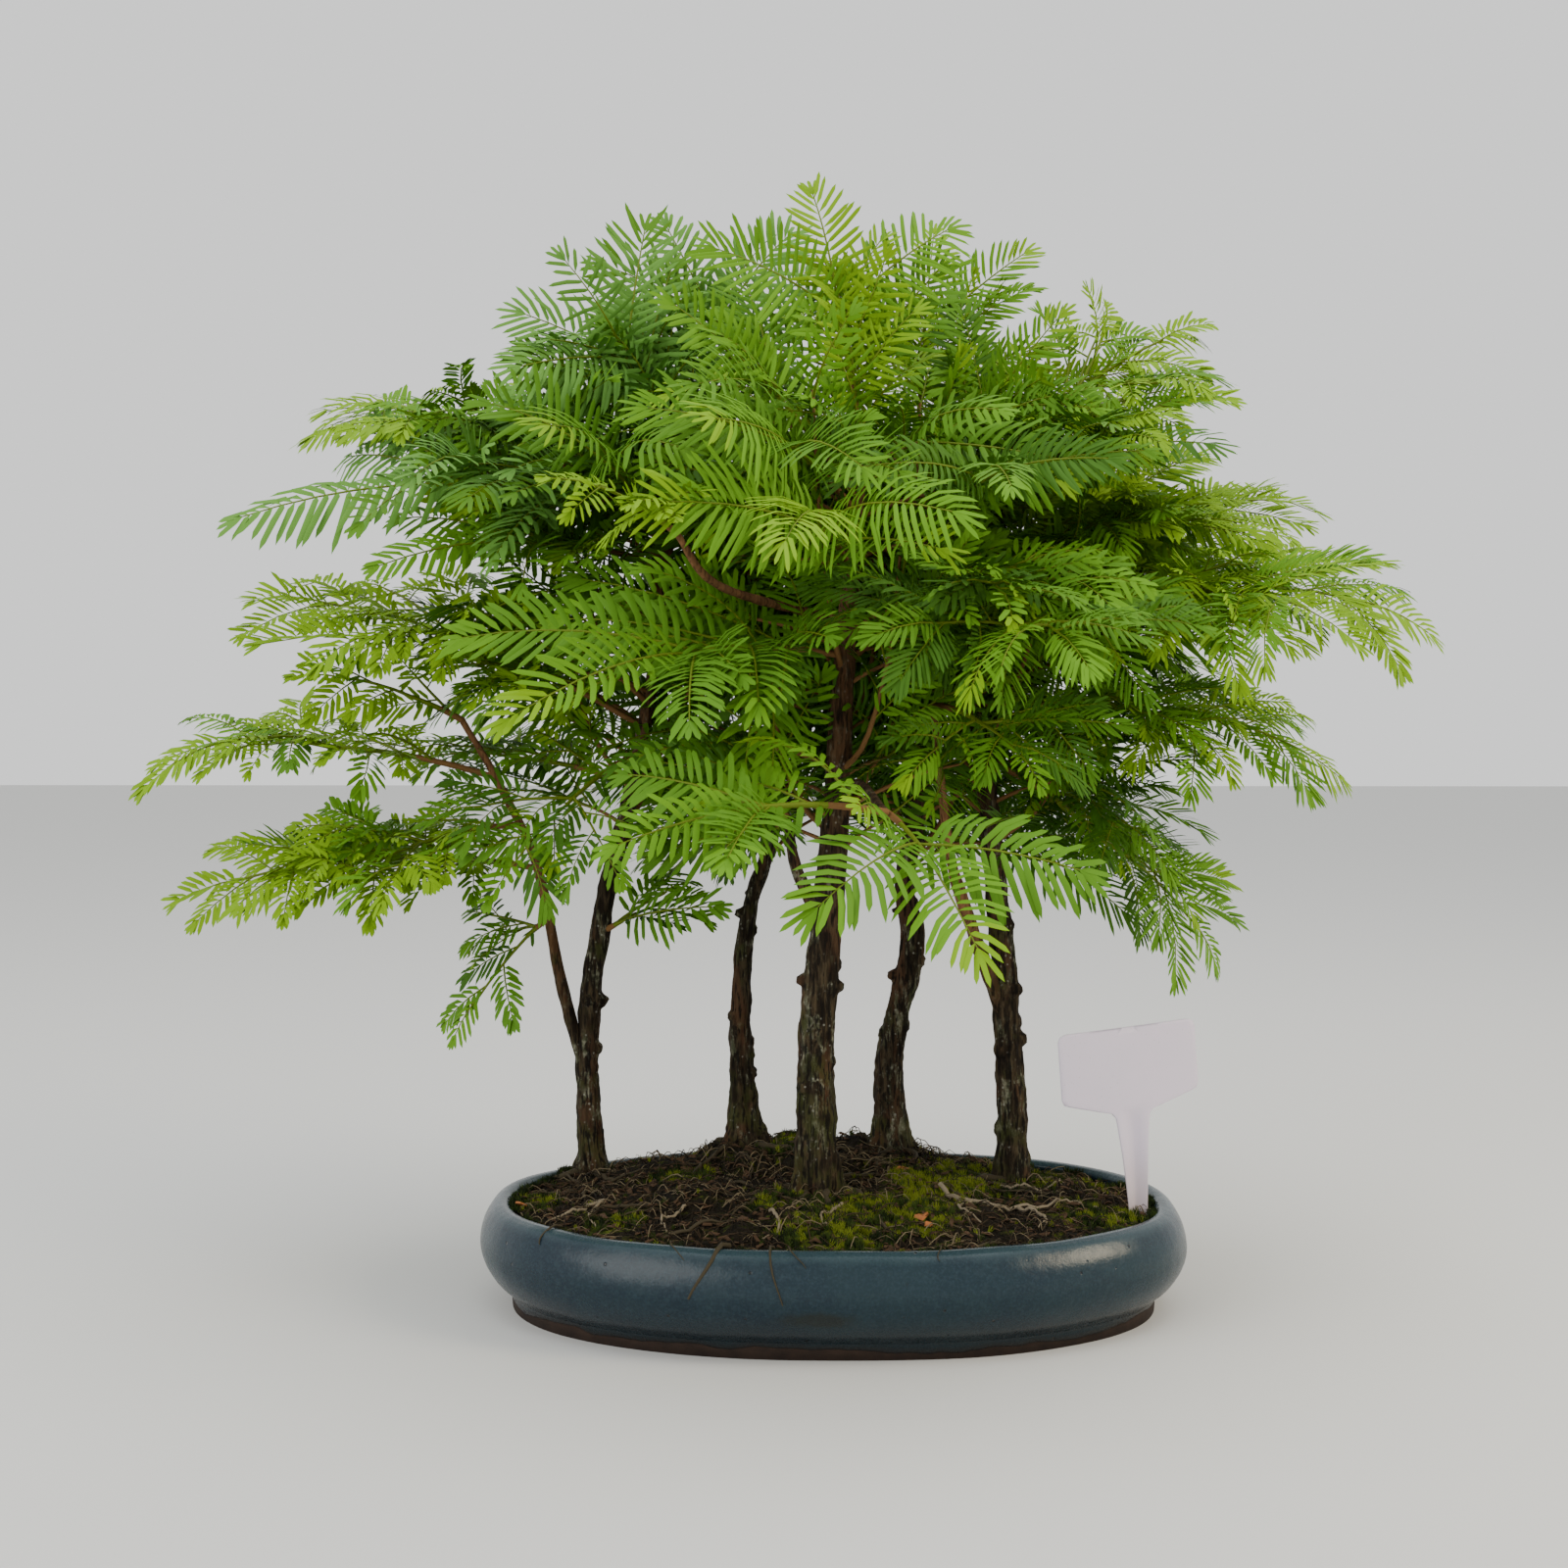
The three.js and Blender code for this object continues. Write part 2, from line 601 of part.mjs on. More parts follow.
function makeStem(plan, room = 0) {
  return loft(Array.from({ length: STEM_RINGS }, (_, ring) => {
    const done = ring / (STEM_RINGS - 1);
    const share = plan.stemShare * done + (done === 1 ? STEM_OVERRUN : 0);
    const direction = ring === 0 ? plan.start : plan.arch.tangentAt(share);
    const radius = STEM_ROOT + (STEM_TIP - STEM_ROOT) * done + room;
    return tubeRing(plan.arch.pointAt(share), direction, radius, STEM_SIDES);
  }));
}

// A mass: its stem stands off its limb by as little as keeps the two apart
function planMass(host, [share, compass, reach, rise, pairs], seed) {
  const { course, radiusAt } = host.limb;
  const heart = course.getPoint(share);
  const turn = THREE.MathUtils.degToRad(compass);
  const tip = heart.clone().add(
    new THREE.Vector3(reach * Math.cos(turn), reach * Math.sin(turn), rise));
  const grain = course.getTangent(share);
  const start = share === 1 ? grain : squareTo(new THREE.Vector3().subVectors(tip, heart), grain);
  const random = randomFrom(seed);
  const planAt = (standoff) => (
    planStem(heart.clone().addScaledVector(start, standoff), tip, start, random));
  let standoff = share === 1 ? GAP : STANDOFF_START * radiusAt(share) + GAP;
  while (!makeStem(planAt(standoff), GAP - STANDOFF_SLACK).intersect(host.solid).isEmpty()) {
    standoff += STANDOFF_STEP;
  }
  const plan = planAt(standoff);
  const stemLength = plan.stemShare * plan.length;
  const room = Math.round((stemLength - BARE_STEM) / PAIR_SPACING);
  plan.pairs = pairs ?? THREE.MathUtils.clamp(room, 0, PAIRS_MOST);
  plan.spacing = Math.min(PAIR_SPACING, (stemLength - BARE_STEM_LEAST) / Math.max(plan.pairs, 1));
  return plan;
}

// Sprays of a mass: where each starts, its chord and the side it turns up
function planSprays(plan) {
  const direction = plan.tip.clone().sub(plan.root).normalize();
  const frontness = direction.dot(FRONT);
  const upness = SPRAY_LEAN_UP * Math.max(direction.z, 0) ** 2;
  const lean = SPRAY_LEAN + SPRAY_LEAN_FRONT * frontness + upness;
  const face = UP.clone().addScaledVector(FRONT, lean);
  const turned = (chord) => {
    const roll = THREE.MathUtils.degToRad(SPRAY_ROLL * (2 * plan.random() - 1));
    const axis = chord.clone().normalize();
    return squareTo(face, axis).applyAxisAngle(axis, roll);
  };
  const foot = plan.arch.pointAt(plan.stemShare);
  const lastChord = new THREE.Vector3().subVectors(plan.tip, foot);
  const sprays = [{ base: foot, chord: lastChord, over: turned(lastChord), atTip: true }];
  for (let pair = 0; pair < plan.pairs; pair++) {
    [1, -1].forEach((side) => {
      const back = PAIR_BACK + plan.spacing * (pair + PAIR_STAGGER * plan.random());
      const share = plan.stemShare - back / plan.length;
      const along = plan.arch.tangentAt(share);
      const across = new THREE.Vector3().crossVectors(along, squareTo(face, along));
      const angle = THREE.MathUtils.degToRad(
        PAIR_ANGLE + PAIR_ANGLE_SCATTER * (plan.random() - 0.5));
      const wanted = lastChord.length() * (PAIR_LENGTH + PAIR_LENGTH_SCATTER * plan.random());
      const chord = along.clone().multiplyScalar(Math.cos(angle))
        .addScaledVector(across, side * Math.sin(angle))
        .addScaledVector(UP, PAIR_LIFT - PAIR_DROOP * plan.random())
        .normalize()
        .multiplyScalar(THREE.MathUtils.clamp(wanted, PAIR_SHORTEST, SPRAY_LONGEST));
      sprays.push({ base: plan.arch.pointAt(share), chord, over: turned(chord), atTip: false });
    });
  }
  return sprays;
}

// A spray is turned a little about its chord until it has room, and is left out if it finds none.
// Among the sprays of its own mass only the part beyond its foot needs room.
function fitSpray({ base, chord, over }, others, siblings) {
  const beyond = base.clone().addScaledVector(chord, ROOM_START);
  const rest = chord.clone().multiplyScalar(ROOM_LENGTH);
  const axis = chord.clone().normalize();
  for (let attempt = 0; attempt < TURN_TRIES; attempt++) {
    const turn = TURN_STEP * Math.ceil(attempt / 2) * (attempt % 2 ? 1 : -1);
    const turned = over.clone().applyAxisAngle(axis, turn);
    const crowded = touches(makeSpray(base, chord, turned, ROOM), others)
      || touches(makeSpray(beyond, rest, turned, ROOM), siblings);
    if (!crowded) {
      return makeSpray(base, chord, turned);
    }
  }
  return null;
}

// Wood: trunks, and the boughs that spring from them
const wood = {};
Object.entries(TRUNKS).forEach(([name, trunk]) => {
  const limb = trunkLimb(trunk);
  wood[name] = { limb, solid: makeTrunk(trunk, limb), node: `trunk_${name}`, finish: BARK };
});
Object.entries(BOUGHS).forEach(([name, bough]) => {
  const trunk = wood[bough.trunk].limb;
  const limb = boughLimb(bough, trunk);
  const solid = makeBough(limb).subtract(makeTrunk(TRUNKS[bough.trunk], trunk, GAP));
  wood[name] = { limb, solid, node: name, finish: YOUNG_BARK };
});

// Foliage: all stems first, then the sprays at their tips, then the other sprays
const soil = makeSoil();
const label = makeLabel();
const obstacles = [obstacleOf('soil', soil), obstacleOf('label', label)];
Object.values(wood).forEach(({ node, solid }) => obstacles.push(obstacleOf(node, solid)));

const rows = Object.entries(FOLIAGE).flatMap(([host, list]) => (
  list.map((row, index) => ({ host, row, node: `foliage_${host}_${index + 1}` }))));
const masses = rows.map(({ host, row, node }, seed) => {
  const plan = planMass(wood[host], row, seed);
  const solid = makeStem(plan);
  obstacles.push(obstacleOf(node, solid));
  return { node, plan, solid, sprays: [] };
});

const candidates = masses.flatMap((mass) => (
  planSprays(mass.plan).map((spray) => ({ mass, spray }))));
const inOrder = [
  ...candidates.filter(({ spray }) => spray.atTip),
  ...candidates.filter(({ spray }) => !spray.atTip),
];
inOrder.forEach(({ mass, spray }) => {
  const others = obstacles.filter(({ owner }) => owner !== mass.node);
  const solid = fitSpray(spray, others, mass.sprays);
  if (solid) {
    const obstacle = obstacleOf(mass.node, solid);
    mass.sprays.push(obstacle);
    obstacles.push(obstacle);
    mass.solid = mass.solid.add(solid);
  }
});

const group = new THREE.Group();
group.add(meshOf('pot', makePot(), GLAZE));
group.add(meshOf('soil', soil, EARTH));
group.add(meshOf('label', label, WHITE_PLASTIC));
Object.values(wood).forEach(({ node, solid, finish }) => group.add(meshOf(node, solid, finish)));
masses.forEach(({ node, solid }) => group.add(meshOf(node, solid, NEEDLES)));

export default group;
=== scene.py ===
import math

import bmesh
import bpy
import numpy as np
from bpy.props import FloatProperty, FloatVectorProperty, IntProperty, PointerProperty
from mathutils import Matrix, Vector, noise


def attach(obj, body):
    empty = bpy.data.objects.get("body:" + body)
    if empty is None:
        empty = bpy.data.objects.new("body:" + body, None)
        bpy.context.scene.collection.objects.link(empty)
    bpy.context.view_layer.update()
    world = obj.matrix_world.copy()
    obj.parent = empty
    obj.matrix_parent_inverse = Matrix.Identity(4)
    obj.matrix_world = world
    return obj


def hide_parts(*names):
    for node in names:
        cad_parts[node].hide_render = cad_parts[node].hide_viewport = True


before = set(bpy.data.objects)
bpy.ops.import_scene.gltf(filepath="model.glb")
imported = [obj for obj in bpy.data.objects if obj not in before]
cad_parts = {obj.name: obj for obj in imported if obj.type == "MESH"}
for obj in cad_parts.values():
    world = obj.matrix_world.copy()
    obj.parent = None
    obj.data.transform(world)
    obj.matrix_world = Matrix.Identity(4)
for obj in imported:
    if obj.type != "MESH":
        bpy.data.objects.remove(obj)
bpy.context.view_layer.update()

bl_info = {
    "name": "Dawn Redwood Bonsai Forest",
    "version": (1, 0, 0),
    "blender": (4, 5, 0),
    "location": "View3D > Sidebar > Bonsai Forest",
    "description": "Grows five young trees in an oval glazed pot, with bark, twigs and needles",
    "category": "Add Mesh",
}

MM = 0.001
BODY = "root"
UP = np.array([0.0, 0.0, 1.0])
FRONT = np.array([0.0, -1.0, 0.0])
# Room between the root of a mass's stem and its limb, in millimetres
GAP = 0.3
# Turns in radians: right round, a fifth of that, and from one leaf or shoot to the next
FULL_TURN, FIFTH_TURN, GOLDEN_TURN = 6.283, 1.256, 2.4

# Pot, in millimetres: how far each ring is set in from the widest one, and its height
POT_HALF = (144, 97)
POT_SQUARENESS = 2.2
UNDERSIDE = [(24, 0), (13.4, 0)]
FOOT_WALL = [(12.8, 0), (12.5, 5.2)]
BELLY = [(11.8, 6.4), (10, 8.2), (5.5, 12.5), (1.5, 19), (0, 26), (1.5, 34), (5, 40), (8, 41.8)]
LIP = [(10.6, 41.6), (12.6, 39.6), (11.2, 36), (9.8, 32)]
INSIDE = [(9.6, 30), (9.6, 24), (12, 20)]
POT_SIDES, BELLY_STEPS, LIP_STEPS = 176, 6, 5
# How far the pot strays from true: share of its width, sway of its lip, height at which that
# sway is full, and how fine the sway is
POT_WOBBLE, LIP_SWAY, FULL_SWAY, SWAY_GRAIN = 0.01, 0.8, 30, 0.018
# A dark smear on the front of the pot: its place, and how much it is stretched each way
SMUDGE = (-5, -97, 18)
SMUDGE_STRETCH = (1, 0.3, 4)

# Soil: mounds are the solid's, as place, radius and rise
RIM_INSET, RIM_HEIGHT, HILL, LITTER_DEPTH = 12.6, 39, 6, 1.1
MOUNDS = [
    (-80, 44, 20, 6), (-38, 62, 24, 8), (-6, 58, 24, 8), (26, 54, 28, 7.5), (64, 42, 16, 3),
    (36, 4, 24, 4), (-60, -10, 30, 3), (100, -4, 18, 2.5), (-14, -52, 20, 2),
]
# Share of the pot over which mounds fade towards the rim
RIM_FADE = 0.14
CUSHION_COUNT, CUSHION_SEED, CUSHION_REACH = 20, 5, 0.84
CUSHION_SIZES, CUSHION_RISE, CUSHION_INSET, CUSHION_FILL = (7, 13), 3, 13, 0.78
KNOLL_TOP, KNOLL_REACH, KNOLL_DROP = 0.62, 7, 60
SOIL_SIDES, SOIL_RINGS = 220, 74
# Two rings hidden in the pot, below the soil's edge: their heights and how far out they stand
SOIL_SKIRT, SKIRT_OUT = (30, 36), 2.4

# Moss grows on patches, as place and radius
MOSS = [(24, -32, 34), (48, 8, 30), (92, 30, 22), (-24, -24, 13), (-62, 22, 15), (-16, 62, 18),
        (2, -62, 24), (-120, -6, 13), (104, -26, 18), (-84, -44, 12)]
# The brightest moss: its place and reach
BRIGHT_MOSS, BRIGHT_REACH = (38, -6), 26
# Tufts over the soil, and those along its edge
TUFTS, RIM_TUFTS, TUFT_SIZE, TUFT_BLADES = 11000, 900, 1.15, 7
# Shades of moss, and how pale the place has to be for each
MOSS_COLORS = {"moss_dark": (0.009, 0.017, 0.003), "moss": (0.027, 0.046, 0.005),
               "moss_bright": (0.125, 0.155, 0.01)}
MOSS_FROM, BRIGHT_FROM = -0.12, 0.32
# Chips: number, size and colour
CHIPS, CHIP_SIZE, CHIP_COLOR = 900, 0.9, (0.06, 0.034, 0.018)
ORANGE_CHIPS = [(35, -42), (-126, -12), (38, -50), (30, 20)]
ORANGE_SIZE, ORANGE_COLOR = 2.2, (0.33, 0.12, 0.04)
# Fibres: the colour of each kind, the share that is dark, and that of the rest that is brown
FIBRES = {"dark": (0.014, 0.01, 0.006), "brown": (0.042, 0.027, 0.014),
          "pale": (0.155, 0.122, 0.072)}
DARK_SHARE, BROWN_SHARE = 0.46, 0.54
# How far in from the pot's widest ring the outermost tufts, chips, fibres and roots start
TUFT_INSET, CHIP_INSET, FIBRE_INSET, ROOT_INSET = 13.4, 14.5, 15.5, 24
# How mossy a place has to be for a tuft, and for fibres to be fewer, and by what share
TUFTS_FROM, FIBRES_FEWER_FROM, FIBRES_FEWER = (0.02, 0.25), 0.25, 0.6
# Share of tufts outside the patches, share of dark ones at the rim, and how gappy the rim is
STRAY_TUFTS, RIM_DARK_SHARE, RIM_GAPS = 0.03, 0.6, -0.12
# How high over the earth the tufts at the rim, dry chips and fresh chips sit
RIM_TUFT_LIFT, CHIP_LIFT, ORANGE_LIFT = 1.6, 0.8, 1.2
# Loose roots over the soil, roots that run out from each trunk, and how much any root thins
LOOSE_ROOTS, TRUNK_ROOTS, ROOT_TAPER = 34, 5, 0.65
# Length and thickness of fibres, loose roots and trunk roots: the least, and the most that a
# random draw adds to it. Every pair that drawn() takes is written in this way
FIBRE_LENGTH, FIBRE_THICKNESS = (6, 13), (0.12, 0.2)
ROOT_LENGTH, ROOT_THICKNESS = (22, 30), (0.4, 0.5)
TRUNK_ROOT_LENGTH, TRUNK_ROOT_THICKNESS = (16, 18), (1.1, 0.7)
FIBRE_SIDES, ROOT_SIDES = 3, 6
ROOT_SKIN, BARE_ROOT_SKIN = (0.042, 0.033, 0.018), (0.19, 0.155, 0.105)
# Roots that hang over the front lip: place, drop, sideways run and thickness
HANGING = [(-38, 18, -13, 1.25), (-23, 19, 4, 0.6), (-106, 6, -5, 0.6), (-16, 6, 5, 0.4),
           (-60, 5, 4, 0.4), (38, 4, 3, 0.4)]
# Their way over the lip: insets and heights where they leave the soil and cross the lip's top,
# the share of their length up to there, how far they stand off the wall, and how many points
HANG_START, HANG_TOP, HANG_OVER, HANG_OFF, HANG_POINTS = (17, 41), (10.5, 43.2), 0.4, 0.7, 10
# The belly that they lie on, as insets at rising heights
HANG_WALL = [(0, 20), (0, 26), (1.5, 34), (5, 40), (8, 42)]
# Bare pale roots on the soil: thickness, and the places that each runs through
BARE_ROOTS = [
    (1.1, [(44, -8), (56, -22), (74, -24), (96, -16), (108, -20)]),
    (0.8, [(56, -22), (50, -34), (58, -46)]),
    (0.8, [(74, -24), (84, -36), (80, -48)]),
    (0.9, [(-92, -16), (-104, -30), (-112, -34)]),
    (0.7, [(-92, -16), (-96, -34), (-92, -46)]),
    (0.8, [(-24, -44), (-20, -58), (-26, -70)]),
    (0.7, [(-58, -34), (-66, -48), (-62, -60)]),
    (0.8, [(4, -30), (-4, -46), (-2, -60)]),
    (0.9, [(60, 10), (72, 4), (88, 6), (98, 14)]),
]

# Label: half its outline, from the point of its stem to the middle of its top edge
LABEL_HALF = [
    (0.6, -16), (4, -6), (4, 0), (4.8, 12), (5.7, 24), (7, 36), (7.5, 39), (9.2, 41), (13, 42),
    (20, 44), (27, 46), (29.1, 46.8), (30, 49), (30, 58), (30, 66), (30, 72), (29.1, 74.1),
    (27, 75), (18, 75), (9, 75),
]
# Shares of the outline that its rings are drawn at, and half the thickness at each
LABEL_RINGS = [(1.0, 0.16), (0.985, 0.38), (0.93, 0.45), (0.72, 0.45), (0.45, 0.45), (0.16, 0.45)]
# Half the width of the stem's crease, the height where it ends, and how soon it fades there
CREASE_HALF, CREASE_END, CREASE_FADE = 5, 44, 10
LABEL_BEND = 0.0006
LABEL_PLACE, LABEL_ROLL, LABEL_TURN = (123.5, -16.5, 40), 4.5, 18

# Trunks, as the solids have them: diameters, flare, lobes, course, and the share, compass
# angle and length of each pruned stub
TRUNKS = {
    "left": {
        "foot": 15, "waist": 10.5, "tip": 2.6, "flare": 12, "lobes": 4,
        "course": [(-104, 45, 42), (-106, 45, 95), (-99, 45, 154), (-84, 43, 216),
                   (-73, 40, 280), (-67, 38, 345)],
        "stubs": [(0.2, 0, 1.5), (0.27, 10, 2)],
    },
    "back_left": {
        "foot": 20, "waist": 9.5, "tip": 2.4, "flare": 18, "lobes": 3,
        "course": [(-38, 64, 51), (-40, 64, 100), (-37, 64, 150), (-25, 62, 195),
                   (-24, 60, 265), (-30, 57, 355)],
        "stubs": [(0.41, 180, 2.5), (0.45, 110, 2)],
    },
    "front": {
        "foot": 19.5, "waist": 16.5, "tip": 3, "flare": 10, "lobes": 5,
        "course": [(-6, -4, 46), (-6, -4, 110), (0, -6, 180), (5, -9, 260), (12, -11, 345)],
        "stubs": [(0.33, 180, 2.5), (0.32, 0, 2)],
    },
    "back_right": {
        "foot": 18, "waist": 12.5, "tip": 2.6, "flare": 14, "lobes": 4,
        "course": [(26, 56, 51), (26, 56, 95), (35, 56, 139), (32, 56, 168), (42, 54, 233),
                   (36, 52, 300), (37, 51, 360)],
        "stubs": [(0.28, 180, 2.5), (0.43, 190, 2)],
    },
    "right": {
        "foot": 15.5, "waist": 12, "tip": 2.6, "flare": 12, "lobes": 3,
        "course": [(77, 27, 44), (73, 27, 124), (67, 26, 190), (58, 24, 265), (50, 22, 340)],
        "stubs": [(0.18, 0, 2), (0.25, 330, 1.5)],
    },
}
# Boughs, as the solids have them: the trunk, the share of it that they spring from, diameters
# at root and tip, and course
BOUGHS = {
    "low_bough": ("left", 0.16, 5.6, 2.6,
                  [(-117, 42, 125), (-126, 35, 175), (-141, 26, 211), (-155, 20, 237)]),
    "fork_bough": ("right", 0.2, 6.4, 3, [(55, 15, 160), (48, 8, 187), (41, 0, 243)]),
    "spur_bough": ("front", 0.41, 7, 3, [(-14, -7, 176), (-18, -9, 198)]),
    "front_bough": ("front", 0.58, 5.4, 2.6, [(10, -60, 213), (19, -110, 205)]),
    "slender_bough": ("front", 0.8, 3.8, 2.4, [(-42, -60, 288), (-58, -76, 307)]),
}
# Boughs with the trunks' dark bark
OLD_BOUGHS = ("spur_bough", "front_bough")
# How a trunk thins, how deep the lobes of its foot are, and how soon they fade
FULLNESS, LOBE_DEPTH, LOBE_FADING = 0.65, 0.16, 18
# Height from which the bark turns smoother, and the height over which it does
SMOOTH_FROM, SMOOTH_OVER = 85, 60
# Bark: rings and sides of each loft, how deep a trunk stands in the earth, share of the relief
# on boughs, and the radius from which the relief is full
TRUNK_RINGS, TRUNK_SIDES, TRUNK_BURIED = 300, 52, 3
BOUGH_RINGS, BOUGH_SIDES, BOUGH_RELIEF, FULL_RELIEF_RADIUS = 90, 24, 0.7, 4.5
# Ridges of the roots at a trunk's foot, how high they run, radius of a stub, scars on a trunk
ROOT_RIDGE, ROOT_RIDGE_HEIGHT, STUB_RADIUS, TWIG_SCARS = 1.3, 4, 2.6, 9
# How far a scar is felt, in stub radii, how much it swells, and how deep and narrow its hollow
# is; then the share of the trunk and the length of the scars of twigs
SCAR_FELT, SCAR_SWELL, SCAR_HOLLOW, HOLLOW_NARROW = 2.5, 0.8, 0.9, 2.2
SCAR_SHARE, SCAR_LENGTH = (0.06, 0.5), (0.2, 0.7)
# Fineness of the bark's plates, flakes and twists, across and along, and of its lumps
PLATE_GRAIN, FLAKE_GRAIN, TWIST_GRAIN, LUMP_GRAIN = (0.42, 0.085), (1.0, 0.2), (0.2, 0.022), 0.11
# Plates and flakes as shares of the relief, lumps and twists as shares of the radius
PLATES, FLAKES, LUMPS, TWISTS = 1.3, 0.7, 0.12, 0.2

# Foliage: each row is one mass, as the share of the limb that its stem springs from, compass
# angle, reach, rise, number of pairs of sprays if it is set, its tint and its longest needles
# Needle tints: young and fresh are the needles' own greens; light is a painted sunlit copy, deep a
# painted shaded copy and cool a painted copy in bluish open-shade light
TINTS = ("young", "light", "fresh", "deep", "cool")
YOUNG, SUNLIT, FRESH, SHADED, SKYLIT = range(5)
FOLIAGE = {
    "left": [
        (1, 225, 58, 78, 3, SKYLIT, 25), (0.94, 203, 178, -8, None, SKYLIT, 20),
        (0.96, 172, 155, 34, None, SUNLIT, 13), (0.87, 217, 132, -5, None, SUNLIT, 16),
        (0.66, 190, 162, 52, None, YOUNG, 12), (0.9, 252, 115, 35, None, SUNLIT, 24),
        (0.62, 238, 96, -55, None, FRESH, 13), (0.58, 163, 108, 6, None, SUNLIT, 12),
        (0.9, 130, 172, 40, None, FRESH, 19), (0.38, 325, 62, 12, None, FRESH, 15),
    ],
    "low_bough": [
        (0.78, 187, 137, 5, None, YOUNG, 11), (1, 206, 70, 18, None, YOUNG, 11),
        (0.5, 186, 150, -14, None, YOUNG, 11), (0.62, 216, 97, -30, None, YOUNG, 11),
        (0.38, 205, 42, -48, None, FRESH, 10),
    ],
    "back_left": [
        (1, 175, 42, 96, 3, SKYLIT, 25), (0.97, 197, 104, 66, None, SKYLIT, 24),
        (0.9, 120, 150, 55, None, FRESH, 19), (0.8, 92, 142, 30, None, FRESH, 19),
        (0.6, 118, 118, 0, None, FRESH, 17),
    ],
    "front": [
        (1, 190, 20, 101, 2, YOUNG, 28), (0.95, 209, 81, 68, None, SUNLIT, 25),
        (0.93, 245, 120, 22, None, SUNLIT, 27), (0.86, 261, 150, 0, None, YOUNG, 27),
        (0.76, 226, 168, -25, None, SUNLIT, 20), (0.8, 327, 129, 10, None, FRESH, 14),
    ],
    "slender_bough": [(1, 222, 58, 16, None, YOUNG, 12)],
    "front_bough": [(1, 205, 100, -9, None, SUNLIT, 20), (0.9, 290, 86, -42, None, SUNLIT, 21)],
    "spur_bough": [(1, 240, 66, 26, None, FRESH, 17)],
    "fork_bough": [(1, 291, 96, -29, None, FRESH, 12)],
    "back_right": [
        (1, 60, 14, 88, 3, YOUNG, 15), (0.96, 42, 60, 52, None, YOUNG, 14),
        (0.84, 75, 153, 60, None, SUNLIT, 17), (0.74, 92, 140, 15, None, FRESH, 17),
        (0.57, 68, 120, -8, None, FRESH, 14),
    ],
    "right": [
        (1, 330, 48, 60, 2, SUNLIT, 17), (0.97, 0, 104, 70, None, YOUNG, 14),
        (0.94, 340, 112, 42, None, SUNLIT, 14), (0.87, 3, 138, 12, None, SUNLIT, 13),
        (0.79, 347, 184, -5, None, YOUNG, 13), (0.68, 350, 148, -30, None, SUNLIT, 12),
        (0.6, 6, 100, -86, None, FRESH, 12), (0.76, 281, 158, -12, None, FRESH, 14),
        (0.93, 274, 143, 0, None, FRESH, 18), (0.84, 41, 177, 18, None, YOUNG, 13),
        (0.73, 52, 171, 3, None, SUNLIT, 13),
    ],
}
# The source's rule for stems and sprays
STEM_ROOT, STEM_TIP, STEM_ARCH, STEM_LEAST_SHARE = 1.5, 0.9, 0.07, 0.04
TIP_SPRAY_SHARE, SPRAY_SHORTEST, SPRAY_LONGEST = 0.5, 50, 100
PAIRS_MOST, PAIR_SPACING, PAIR_BACK, PAIR_STAGGER = 3, 28, 2, 0.2
PAIR_ANGLE, PAIR_ANGLE_SCATTER, PAIR_LENGTH, PAIR_LENGTH_SCATTER = 52, 16, 0.78, 0.3
PAIR_SHORTEST, PAIR_LIFT, PAIR_DROOP, BARE_STEM, BARE_STEM_LEAST = 56, 0.1, 0.25, 12, 6
SPRAY_LEAN, SPRAY_LEAN_FRONT, SPRAY_LEAN_UP, SPRAY_ROLL = 0.12, 0.5, 1, 15

# Finer sprays, in scene.py alone: they rise in the upper crown and hang in the lower
CROWN_HEART = np.array([-15.0, 25.0, 280.0])
RISE_FROM, RISE_OVER, RISE_LIMITS = 270, 140, (-0.3, 0.6)
# Shortest and longest of them, how far behind a stem's last spray they start, the part of the
# stem that they take, and the least share that they spring from
FINER_LENGTHS, FINER_BACK, FINER_OVER, FINER_LEAST_SHARE = (40, 80), 4, 0.86, 0.05
# How far they swing round the stem and tumble: inside the crown, and further out
SWING, OUTER_SWING, TUMBLE, OUTER_TUMBLE = 2.4, 0.8, 0.9, 0.3
# Roll of those with short needles and of all others, in radians, and their needles' length
FINE_ROLL, LOOSE_ROLL, FINER_NEEDLES = 0.7, 1.7, (0.8, 0.25)
# A twig of small sprays: its spacing, and the shortest and longest spray
SMALL_SPACING, SMALL_LENGTHS = 17, (26, 48)
# Where the twig ends, its radius and taper, and over which part of it the sprays stand
TWIG_END, TWIG_RADIUS, TWIG_TAPER, SMALL_FROM, SMALL_OVER = 0.66, 0.75, 0.4, 0.1, 0.56
# Shares of small sprays that are paler and darker, where the last one starts, and how much
# longer its needles are
SMALL_PALER, SMALL_DARKER, LAST_SMALL, LAST_NEEDLES = 0.35, 0.2, 0.62, 1.1
# The twig's arch, and the sprays' angle from it, tilt, length as a share, and roll
TWIG_ARCH, TWIG_ANGLE, TWIG_TILT = (0.04, 0.08), (30, 24), (-0.3, 0.5)
TWIG_REACH, TWIG_ROLL = (0.4, 0.2), (-0.25, 0.5)
# Angle of a finer spray from its stem, and its length as a share of the spray at the stem's tip
FINER_ANGLE, FINER_REACH = (38, 34), (0.55, 0.4)
# Distance from the crown's upright middle beyond which they lie flat, the most that small sprays
# rise there, and the share of finer ones that are left out there, for the sky between the tiers
FLAT_BEYOND, FLAT_RISE, SKY_SHARE = 130, 0.2, 0.45
# Distance from the crown's heart within which most of them are dark, as painted shade
SHADY_WITHIN = 105
# Share of a leader's stem at which its needles start, how far past it they go, and how much
# shorter the second row is
LEADER_START, LEADER_PAST, LEADER_SECOND = 0.12, 0.12, 0.96
# How far sprays look to the front, and how many times that those of long needles do
SHOWN_FACE, LONG_SHOWN = 0.6, 2.2
# Chances that a mass's spray of short needles keeps its tint, and that one of long needles is
# only one step darker. The pairs behind a mass's tip spray are darker: older growth, and
# painted shade deeper in the mass
KEPT_TINT, ONE_DARKER = 0.6, 0.85
